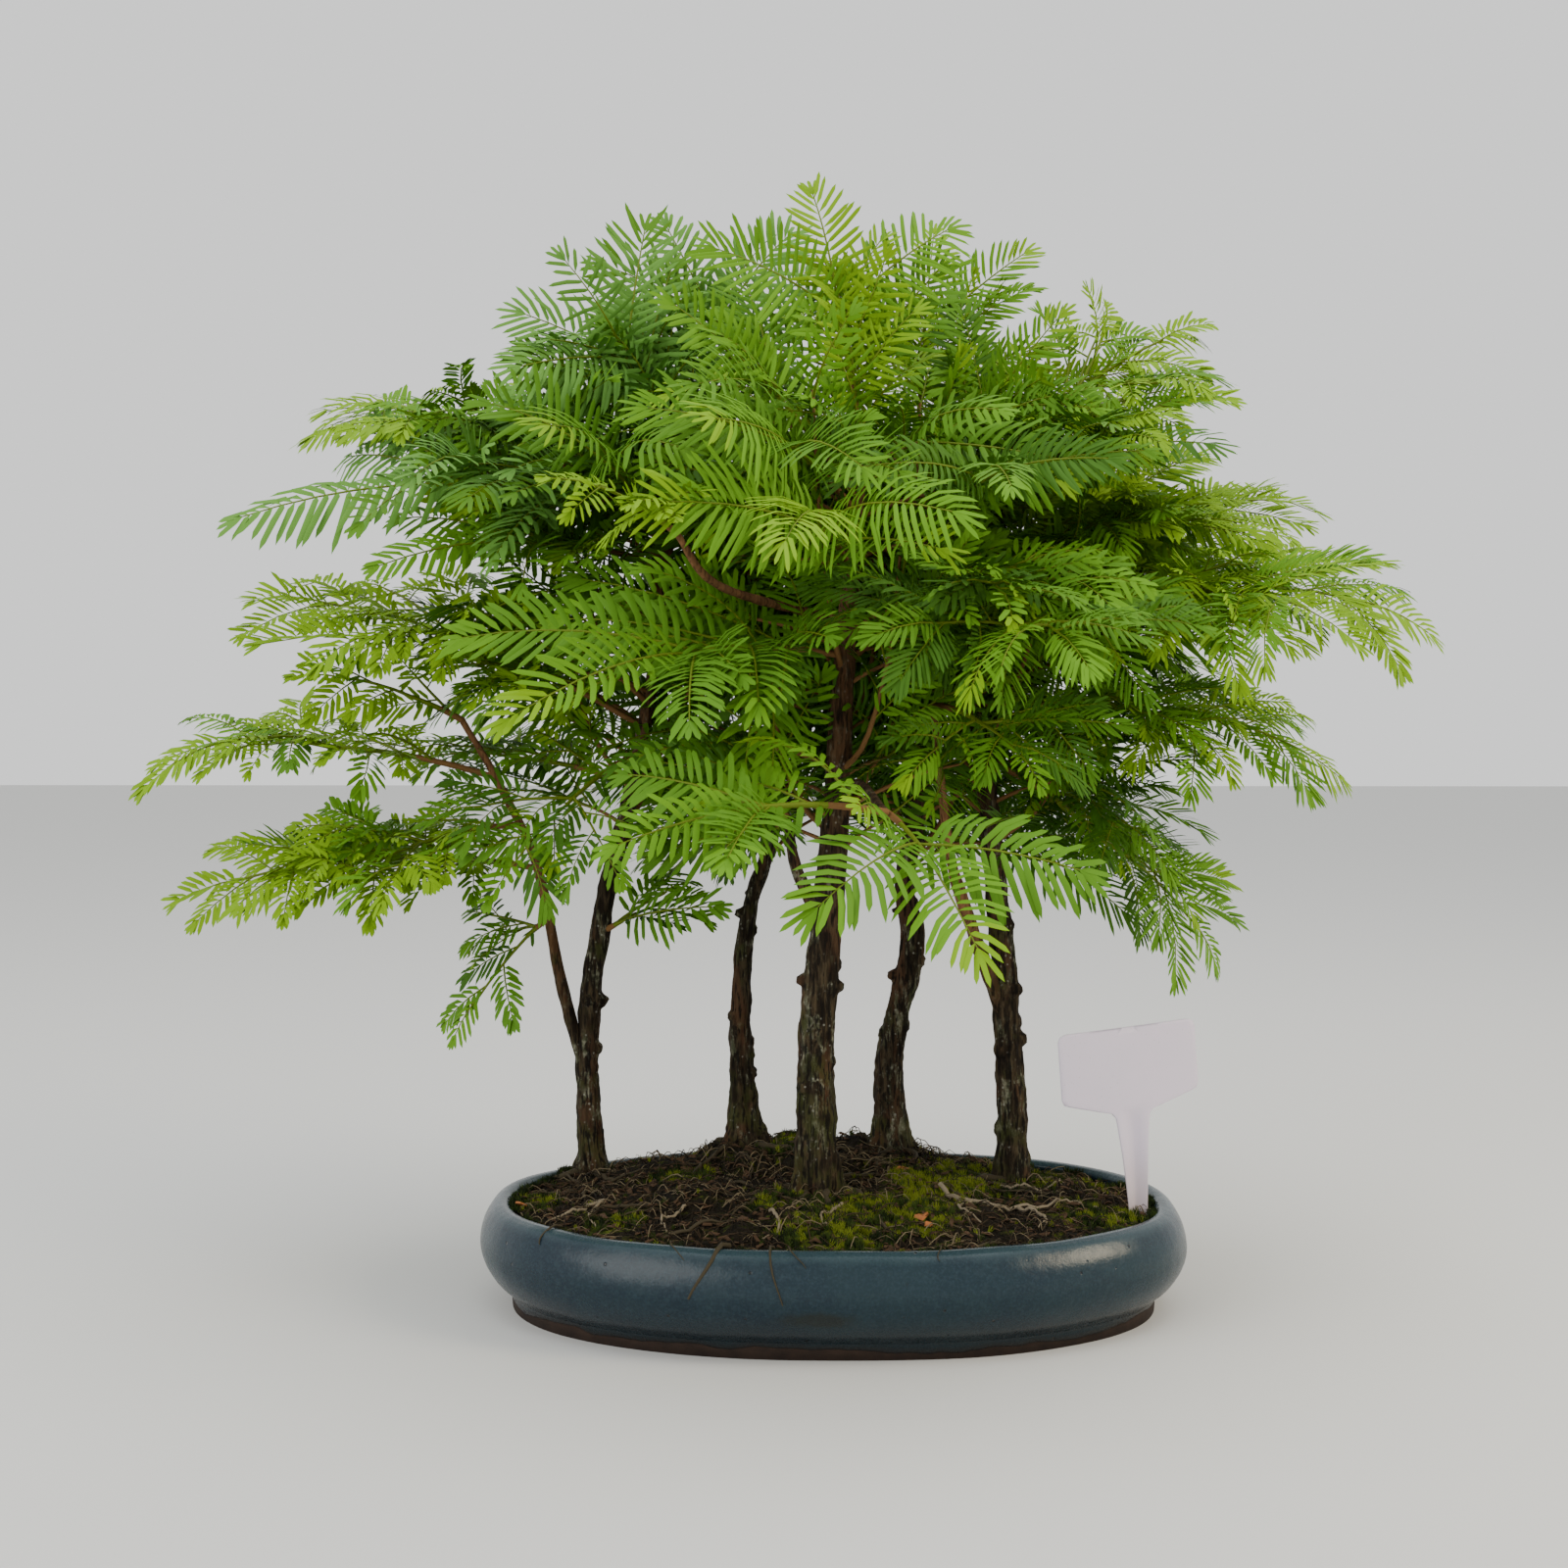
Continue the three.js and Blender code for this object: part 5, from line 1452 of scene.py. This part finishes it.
class Growth:
    """Collects one limb's needles, and the paths of its stalks and twigs.

    A needle is its base, its way, its bend, its upper side, length, width and tint.
    """

    def __init__(self, host):
        self.slim = SLIM.get(host, 1)
        self.close = CLOSE.get(host, 1)
        self.needles, self.stalks, self.twigs = [], [], []

    def frond(self, base, chord, over, tint, random, longest):
        """A spray: a stalk with needles on both sides, and a few at its end."""
        length = np.linalg.norm(chord)
        arch = Arch(base, base + chord, over, drawn(random, *FROND_ARCH))
        tip_tint = paler(tint, int(random() < PALE_TIPS))
        broad = self.slim * breadth(longest)
        longest = min(NEEDLE_SHARE * length, longest * drawn(random, *FROND_REACH))
        kind = SHORT_SPRAY if longest < FINE else LONG_SPRAY
        wide = broad * drawn(random, *FROND_WIDTH)
        shares = np.linspace(0, 1, kind["points"])
        self.stalks.append((line_on(arch, shares), kind["stalk"] * (1 - STALK_TAPER * shares)))
        count = max(int(length * LEAFY / (kind["spacing"] * broad * self.close)), PAIRS_LEAST)
        sag, sweep, lift = (
            drawn(random, *pair) for pair in (FROND_SAG, FROND_SWEEP, FROND_LIFT))
        for index in range(count):
            share = NEEDLES_FROM + NEEDLES_OVER * (index + 0.5) / count
            along = arch.along(share)
            across = np.cross(along, over)
            up = np.cross(across, along)
            full = bell(share, kind["tip_loss"])
            opening = kind["widest"] - CLOSING * share - TIP_CLOSING * share ** 3
            for side in (1, -1):
                angle = math.radians(opening + NEEDLE_STRAY * (random() - 0.5))
                reach = longest * full * drawn(random, *NEEDLE_REACH)
                bend = along * sweep - up * drawn(random, sag, SAG_STRAY)
                bend -= UP * drawn(random, *NEEDLE_DROOP)
                way = between(along, across, side * angle) + up * drawn(random, lift, SAG_STRAY)
                self.needles.append((
                    arch.at(share + side * PAIR_OFFSET / length), way, bend,
                    up + across * drawn(random, *NEEDLE_TWIST), reach, wide * (0.8 + 0.2 * full),
                    tint if share < PALE_FROM else tip_tint))
        along = arch.along(1.0)
        across = np.cross(along, over)
        for turn in TIP_NEEDLES:
            self.needles.append((
                arch.at(0.995), between(along, across, turn), -UP * 0.2, over,
                longest * drawn(random, 0.5, 0.15), wide * 0.9, tip_tint))

    def branchlet(self, base, chord, over, tint, random, longest):
        """A twig of small sprays: some to both sides, and one at its tip."""
        length = np.linalg.norm(chord)
        arch = Arch(base, base + chord, over, drawn(random, *TWIG_ARCH))
        shares = np.linspace(0, TWIG_END, 5)
        self.stalks.append((line_on(arch, shares), TWIG_RADIUS - TWIG_TAPER * shares))
        outer = np.linalg.norm((base + chord - CROWN_HEART)[:2]) > FLAT_BEYOND
        count = max(round(length / SMALL_SPACING), 2)
        first = 1 if random() < 0.5 else -1
        for index in range(count):
            share = SMALL_FROM + SMALL_OVER * (index + 0.5 * random()) / count
            along = arch.along(share)
            across = np.cross(along, over) * (first if index % 2 else -first)
            angle = math.radians(drawn(random, *TWIG_ANGLE))
            way = between(along, across, angle) + over * drawn(random, *TWIG_TILT)
            if outer:
                way[2] = min(way[2], FLAT_RISE)
            small = unit(way) * held(length * drawn(random, *TWIG_REACH), *SMALL_LENGTHS)
            shade = paler(tint, 1 if random() < SMALL_PALER else -int(random() < SMALL_DARKER))
            face = turned(square_to(over, unit(small)), unit(small), drawn(random, *TWIG_ROLL))
            self.frond(arch.at(share), small, face, shade, random, longest)
        start = arch.at(LAST_SMALL)
        end = base + chord - start
        self.frond(start, end, square_to(over, unit(end)), paler(tint, 1), random,
                   longest * LAST_NEEDLES)

    def spray(self, base, chord, over, tint, random, longest):
        if longest < FINE:
            self.branchlet(base, chord, over, tint, random, longest)
        else:
            self.frond(base, chord, over, tint, random, longest)

    def loose_needles(self, stem, tint, longest):
        """Needles that stand by themselves along the green part of a stem."""
        random, face = stem.random, stem.face()
        count = int(LOOSE_PART * stem.share * stem.length / LOOSE_SPACING)
        for index in range(count):
            share = stem.share * (LOOSE_FROM + LOOSE_OVER * (index + random()) / count)
            along = stem.arch.along(share)
            up = square_to(face, along)
            across = np.cross(along, up)
            for side in (1, -1):
                angle = math.radians(drawn(random, *LOOSE_ANGLE))
                self.needles.append((
                    stem.arch.at(share),
                    between(along, across, side * angle) + up * 0.2 * random(),
                    -UP * drawn(random, *LOOSE_DROOP), up, longest * drawn(random, *LOOSE_REACH),
                    self.slim * breadth(longest), tint))

    def needle_mesh(self, name, width):
        """All needles as one mesh: long ones folded on their rib, short ones flat."""
        points, faces, tints, first = [], [], [], 0
        for small in (False, True):
            rows = [row for row in self.needles if (row[4] < FINE) == small]
            if rows:
                grid, pattern = needle_grid(rows, width, small)
                count, corners = grid.shape[:2]
                starts = first + np.arange(count) * corners
                points.append(grid.reshape(-1, 3))
                faces.append((pattern[None] + starts[:, None, None]).reshape(-1, 3))
                tints.append(np.repeat([row[6] for row in rows], len(pattern)))
                first += count * corners
        return mesh_from(name, np.concatenate(points), np.concatenate(faces),
                         np.concatenate(tints))

    def show(self, name, width, paints, stalk, wood, nodes=()):
        """The pieces of one limb: its needles, their green stalks and its twigs."""
        mesh = self.needle_mesh(f"{name}_needles", width)
        finish_piece(new_object(f"{name}_needles", mesh, *paints), "needles", *nodes)
        tubes(f"{name}_stalks", self.stalks, STALK_SIDES, stalk, "needles")
        tubes(f"{name}_twigs", self.twigs, TWIG_SIDES, wood, "young_bark")


def breadth(longest):
    """A needle's width as a share of the setting: those of middling length are the widest."""
    return min(0.62 + 0.036 * longest, 1.45 - 0.05 * (longest - 17))


def bell(share, tip_loss):
    """How long a needle is for its place on a spray: the longest stand before the middle."""
    if share < LONGEST_AT:
        return 1 - BASE_LOSS * ((LONGEST_AT - share) / LONGEST_AT) ** 2
    return 1 - tip_loss * ((share - LONGEST_AT) / (1 - LONGEST_AT)) ** 2


def needle_grid(rows, width, small):
    """Points of many needles at once, and the triangles between those of one needle."""
    base, way, bend, up = (np.array([row[k] for row in rows]) for k in range(4))
    reach = np.array([row[4] for row in rows])[:, None]
    wide = np.array([row[5] for row in rows])[:, None] * width / 2
    way /= np.linalg.norm(way, axis=1, keepdims=True)
    side = np.cross(way, up)
    side /= np.linalg.norm(side, axis=1, keepdims=True)
    fold = np.cross(side, way)
    points = []
    for share, swell in zip(*(SHORT if small else BROAD)):
        heart = base + way * (reach * share) + bend * (reach * share ** 2)
        half = side * (wide * swell)
        if share in (0.0, 1.0):
            points.append(heart)
        elif small:
            points += [heart - half, heart + half]
        else:
            points += [heart - half, heart + fold * (wide * NEEDLE_FOLD * swell), heart + half]
    return np.stack(points, 1), np.array(SHORT_FACES if small else BROAD_FACES)


class Stem:
    """A mass's stem, planned as in the solids."""

    def __init__(self, limb, share, compass, reach, rise, pairs, seed):
        heart = limb.course.at(share)
        turn = math.radians(compass)
        self.tip = heart + np.array([reach * math.cos(turn), reach * math.sin(turn), rise])
        grain = limb.course.along(share)
        start = grain if share == 1 else square_to(self.tip - heart, grain)
        standoff = GAP if share == 1 else limb.radius(share) + GAP
        self.heart = heart
        self.root = heart + start * standoff
        self.random = random_from(seed)
        self.length = np.linalg.norm(self.tip - self.root)
        last = held(TIP_SPRAY_SHARE * self.length, SPRAY_SHORTEST, SPRAY_LONGEST)
        self.share = max(1 - last / self.length, STEM_LEAST_SHARE)
        self.arch = Arch(self.root, self.tip, UP, STEM_ARCH)
        long = self.share * self.length
        room = math.floor((long - BARE_STEM) / PAIR_SPACING + 0.5)
        self.pairs = held(room, 0, PAIRS_MOST) if pairs is None else pairs
        self.spacing = min(PAIR_SPACING, (long - BARE_STEM_LEAST) / max(self.pairs, 1))

    def face(self):
        way = unit(self.tip - self.root)
        lean = SPRAY_LEAN + SPRAY_LEAN_FRONT * np.dot(way, FRONT)
        lean += SPRAY_LEAN_UP * max(way[2], 0) ** 2
        return UP + FRONT * lean

    def sprays(self):
        """(base, chord, over) of every spray that the solids may hold."""
        face, random = self.face(), self.random

        def rolled(chord):
            axis = unit(chord)
            roll = math.radians(SPRAY_ROLL * (2 * random() - 1))
            return turned(square_to(face, axis), axis, roll)

        foot = self.arch.at(self.share)
        last = self.tip - foot
        found = [(foot, last, rolled(last))]
        for pair in range(self.pairs):
            for side in (1, -1):
                back = PAIR_BACK + self.spacing * (pair + PAIR_STAGGER * random())
                share = self.share - back / self.length
                along = self.arch.along(share)
                across = np.cross(along, square_to(face, along))
                angle = math.radians(PAIR_ANGLE + PAIR_ANGLE_SCATTER * (random() - 0.5))
                wanted = np.linalg.norm(last) * (PAIR_LENGTH + PAIR_LENGTH_SCATTER * random())
                chord = (between(along, across, side * angle)
                         + UP * (PAIR_LIFT - PAIR_DROOP * random()))
                chord = unit(chord) * held(wanted, PAIR_SHORTEST, SPRAY_LONGEST)
                found.append((self.arch.at(share), chord, rolled(chord)))
        return found

    def finer(self, extra, roll):
        """Smaller sprays between the pairs, above and below them, within the mass's reach."""
        random = self.random
        long = self.share * self.length
        steps = max(int(long / (PAIR_SPACING / 2)), 1)
        found = []
        for index in range(steps * extra):
            back = FINER_BACK + long * (index // extra + random()) / steps * FINER_OVER
            share = max(self.share - back / self.length, FINER_LEAST_SHARE)
            base, along = self.arch.at(share), self.arch.along(share)
            far = np.linalg.norm((base - CROWN_HEART)[:2])
            if far > FLAT_BEYOND and random() < SKY_SHARE:
                continue
            swing = SWING if far < FLAT_BEYOND * 0.6 else OUTER_SWING
            across = turned(np.cross(along, square_to(self.face(), along)), along,
                            (random() - 0.5) * swing)
            side = 1 if random() < 0.5 else -1
            angle = math.radians(drawn(random, *FINER_ANGLE))
            rise = held((base[2] - RISE_FROM) / RISE_OVER, *RISE_LIMITS)
            rise *= max(1 - far / FLAT_BEYOND, 0)
            tumble = TUMBLE if far < FLAT_BEYOND / 2 else OUTER_TUMBLE
            chord = between(along, across, side * angle) + UP * (rise + tumble * (random() - 0.5))
            wanted = (self.length - long) * drawn(random, *FINER_REACH)
            chord = unit(chord) * held(wanted, *FINER_LENGTHS)
            found.append((base, chord, facing_out(base, chord, random, roll)))
        return found


def facing_out(base, chord, random, roll=LOOSE_ROLL):
    """The way that a loose spray's face looks: up, and outwards the more it rises."""
    axis = unit(chord)
    out = base - CROWN_HEART
    out = unit(np.array([out[0], out[1], 0]) + FRONT * FACE_FRONT)
    face = UP + out * (FACE_OUT + FACE_OUT_RISING * max(axis[2], 0))
    return turned(square_to(face, axis), axis, (random() - 0.5) * roll)


def paler(tint, steps):
    """A tint some steps lighter, or darker if they are below 0."""
    if tint == SKYLIT:
        return SKYLIT if steps <= 0 else FRESH
    return held(tint - steps, YOUNG, SHADED)


def grow_mass(limb, row, seed, growth, extra):
    """One mass: its stem with loose needles, the solids' sprays, and finer ones between."""
    *plan, tint, longest = row
    _, compass, _, _, pairs = plan
    fine = longest < FINE
    stem = Stem(limb, *plan, seed)
    random = stem.random
    shares = np.linspace(0, 1, 13)
    line = np.array([stem.heart, *line_on(stem.arch, np.linspace(0, stem.share, 12))])
    radii = STEM_ROOT + (STEM_TIP - STEM_ROOT) * shares
    growth.twigs.append((line[:7], radii[:7]))
    growth.stalks.append((line[6:], radii[6:]))
    growth.loose_needles(stem, paler(tint, -1), longest)
    sprays = stem.sprays()
    if pairs:
        grow_leader(stem, sprays[0], tint, growth, longest)
    for index, (base, chord, over) in enumerate(sprays):
        # The tip spray keeps the mass's tint; the pairs behind it are darker: older growth, and
        # painted shade deeper in the mass
        chance = random()
        drop = 0 if fine and chance < KEPT_TINT else (
            -1 if chance < ONE_DARKER or fine else -2)
        shade = tint if index == 0 else paler(tint, drop)
        shown = SHOWN_FACE if fine else SHOWN_FACE * LONG_SHOWN
        over = square_to(over + FRONT * shown, unit(chord))
        growth.spray(base, chord, over, shade, random, longest)
    closed = not OPEN_FROM < compass < OPEN_TO
    for base, chord, over in stem.finer(extra * closed, FINE_ROLL if fine else LOOSE_ROLL):
        # Painted shade: finer sprays are dealt darker tints, most of all inside the crown
        inner = np.linalg.norm(base + chord * 0.6 - CROWN_HEART) < SHADY_WITHIN
        drop = int(random() < (INNER_DARKER if inner else OUTER_DARKER))
        drop += int(inner and random() < DARKER_AGAIN)
        growth.spray(base, chord, over, paler(tint, -drop), random,
                     longest * drawn(random, *FINER_NEEDLES))


def grow_leader(stem, tip_spray, tint, growth, longest):
    """Needles all along the top shoot of a tree, below the spray at its tip."""
    foot = stem.arch.at(LEADER_START)
    over = tip_spray[2]
    chord = stem.arch.at(stem.share + LEADER_PAST) - foot
    growth.frond(foot, chord, over, tint, stem.random, longest)
    growth.frond(foot, chord * LEADER_SECOND, np.cross(unit(chord), over), tint, stem.random,
                 longest)


def grow_shoots(tree, growth, seed):
    """Short leafy shoots that spring from the trunk itself."""
    low, high, count = SHOOTS[tree]
    limb = LIMBS[tree]
    random = random_from(seed)
    for index in range(count):
        share = low + (high - low) * (index + random()) / count
        out = compass_way(GOLDEN_TURN * index + random(), drawn(random, *SHOOT_RISE))
        if np.dot(out, FRONT) > SHOOTS_BARE_FRONT:
            continue
        heart = limb.course.at(share)
        arch = Arch(heart, heart + unit(out) * drawn(random, *SHOOT_LENGTH), UP, SHOOT_ARCH)
        shares = np.linspace(0, 1, 5)
        growth.twigs.append((line_on(arch, shares), SHOOT_RADIUS - SHOOT_TAPER * shares))
        for spray in range(SHOOT_SPRAYS):
            swing = (spray - 1) * SHOOT_FAN + SHOOT_STRAY * (random() - 0.5)
            way = turned(arch.along(1.0), UP, swing)
            chord = unit(way + UP * drawn(random, *SHOOT_SPRAY_RISE))
            chord = chord * drawn(random, *SHOOT_SPRAY_LENGTH)
            # Painted light and shade: shoots high on the trunk may be dealt a paler tint, and most
            # sprays a darker one inside the crown
            lit = int(random() < share - SHOOT_LIT_FROM)
            tint = paler(FRESH, lit - int(random() < SHOOT_SHADED))
            base = arch.at(1.0 if spray == 1 else SHOOT_FORK)
            growth.frond(base, chord, facing_out(base, chord, random), tint, random,
                         drawn(random, *SHOOT_NEEDLES))


def grow_climbers(tree, growth, seed):
    """Thin reddish twigs that rise beside the trunk, with small sprays on their upper half."""
    limb = LIMBS[tree]
    random = random_from(seed)
    for index in range(CLIMBERS):
        share = CLIMB_FROM + CLIMB_OVER * (index + random()) / CLIMBERS
        out = compass_way(GOLDEN_TURN * index + 1.2 * random())
        root = limb.course.at(share)
        knee = root + out * drawn(random, *KNEE_OUT) + UP * drawn(random, *KNEE_UP)
        room = CROWN_TOP - knee[2]
        top = knee + out * drawn(random, *TOP_OUT) + UP * min(drawn(random, *TOP_UP), room)
        course = Course([root, knee, (knee + top) / 2 + out * 4, top])
        shares = np.linspace(0, 1, 12)
        growth.twigs.append((line_on(course, shares), CLIMBER_RADIUS - CLIMBER_TAPER * shares))
        for spray in range(CLIMBER_SPRAYS):
            base = course.at(LEAFY_FROM + LEAFY_OVER * spray / (CLIMBER_SPRAYS - 1))
            way = turned(out, UP, CLIMBER_TURN * spray + random())
            chord = unit(way + UP * drawn(random, *CLIMBER_SPRAY_RISE))
            chord = chord * drawn(random, *CLIMBER_SPRAY_LENGTH)
            tint = paler(SUNLIT, -int(random() < CLIMBER_DARKER))
            growth.frond(base, chord, facing_out(base, chord, random), tint, random,
                         drawn(random, *CLIMBER_NEEDLES))


class FOREST_OT_foliage(bpy.types.Operator):
    """Grows the twigs, stalks and needles of every mass, each kind joined for each limb"""

    bl_idname = "forest.foliage"
    bl_label = "Foliage"

    def execute(self, context):
        leaf = context.scene.forest_foliage
        paints = [plain_finish(name, getattr(leaf, name), 0.6, 0.12) for name in TINTS]
        skins = (paints, plain_finish("green_stalk", leaf.stalk, 0.6),
                 plain_finish("young_twig", leaf.wood, 0.8))
        seed = 0
        for number, (host, rows) in enumerate(FOLIAGE.items()):
            growth = Growth(host)
            for row in rows:
                grow_mass(LIMBS[host], row, seed, growth, leaf.fill)
                seed += 1
            growth.show(host, leaf.width / MM, *skins, [
                f"foliage_{host}_{index + 1}" for index in range(len(rows))])
            if host in TRUNKS:
                inner = Growth(host)
                grow_shoots(host, inner, SHOOT_SEED + number)
                grow_climbers(host, inner, CLIMBER_SEED + number)
                inner.show(f"{host}_inner", leaf.width / MM, *skins)
        return {"FINISHED"}


# Stage


def add_aimed(name, data, place, aim):
    """A light or camera that looks from one place at another, in metres."""
    holder = bpy.data.objects.new(name, data)
    holder.location = place
    holder.rotation_euler = (Vector(aim) - Vector(place)).to_track_quat("-Z", "Y").to_euler()
    bpy.context.scene.collection.objects.link(holder)
    return holder


class FOREST_OT_stage(bpy.types.Operator):
    """Sets the pale floor, the soft lights and the camera"""

    bl_idname = "forest.stage"
    bl_label = "Floor, lights and camera"

    def execute(self, context):
        stage = context.scene.forest_stage
        corners = [(x * FLOOR_HALF, y * FLOOR_HALF, 0) for x, y in FLOOR_CORNERS]
        floor = mesh_from("floor", corners, [(0, 1, 2, 3)], smooth=False)
        new_object("floor", floor, plain_finish("floor_paint", stage.floor, 0.9, 0.5))
        for name, (place, size, power, color) in LIGHTS.items():
            lamp = bpy.data.lights.new(name, "AREA")
            lamp.shape = "DISK"
            lamp.size, lamp.energy, lamp.color = size, stage.key * power, color
            add_aimed(name, lamp, place, LIGHT_AIM)
        context.scene.world = self.backdrop()
        view = bpy.data.cameras.new("photo_view")
        view.lens, view.sensor_width = stage.lens, SENSOR_WIDTH
        view.clip_start, view.clip_end = CAMERA_RANGE
        context.scene.camera = add_aimed("photo_view", view, CAMERA_PLACE, CAMERA_AIM)
        return {"FINISHED"}

    def backdrop(self):
        world = bpy.data.worlds.new("studio")
        world.use_nodes = True
        background = world.node_tree.nodes["Background"]
        background.inputs["Color"].default_value = BACKDROP_COLOR
        background.inputs["Strength"].default_value = BACKDROP_STRENGTH
        return world


class FOREST_PT_panel(bpy.types.Panel):
    """Lists the settings and the steps"""

    bl_idname = "FOREST_PT_panel"
    bl_label = "Bonsai Forest"
    bl_space_type = "VIEW_3D"
    bl_region_type = "UI"
    bl_category = "Bonsai Forest"

    def draw(self, context):
        for operator, group in STEPS:
            box = self.layout.box()
            box.operator(operator.bl_idname)
            if group:
                settings = getattr(context.scene, group)
                for name in GROUPS[group].__annotations__:
                    box.prop(settings, name)


STEPS = [
    (FOREST_OT_pot, "forest_pot"), (FOREST_OT_soil, "forest_soil"),
    (FOREST_OT_litter, None), (FOREST_OT_label, "forest_label"),
    (FOREST_OT_wood, "forest_bark"), (FOREST_OT_foliage, "forest_foliage"),
    (FOREST_OT_stage, "forest_stage"),
]


def register():
    for group in GROUPS.values():
        bpy.utils.register_class(group)
    for operator, _ in STEPS:
        bpy.utils.register_class(operator)
    bpy.utils.register_class(FOREST_PT_panel)
    for name, group in GROUPS.items():
        setattr(bpy.types.Scene, name, PointerProperty(type=group))


def unregister():
    for name in GROUPS:
        delattr(bpy.types.Scene, name)
    bpy.utils.unregister_class(FOREST_PT_panel)
    for operator, _ in reversed(STEPS):
        bpy.utils.unregister_class(operator)
    for group in reversed(GROUPS.values()):
        bpy.utils.unregister_class(group)


def main():
    register()
    for operator, _ in STEPS:
        family, name = operator.bl_idname.split(".")
        getattr(getattr(bpy.ops, family), name)()


if __name__ == "__main__":
    main()
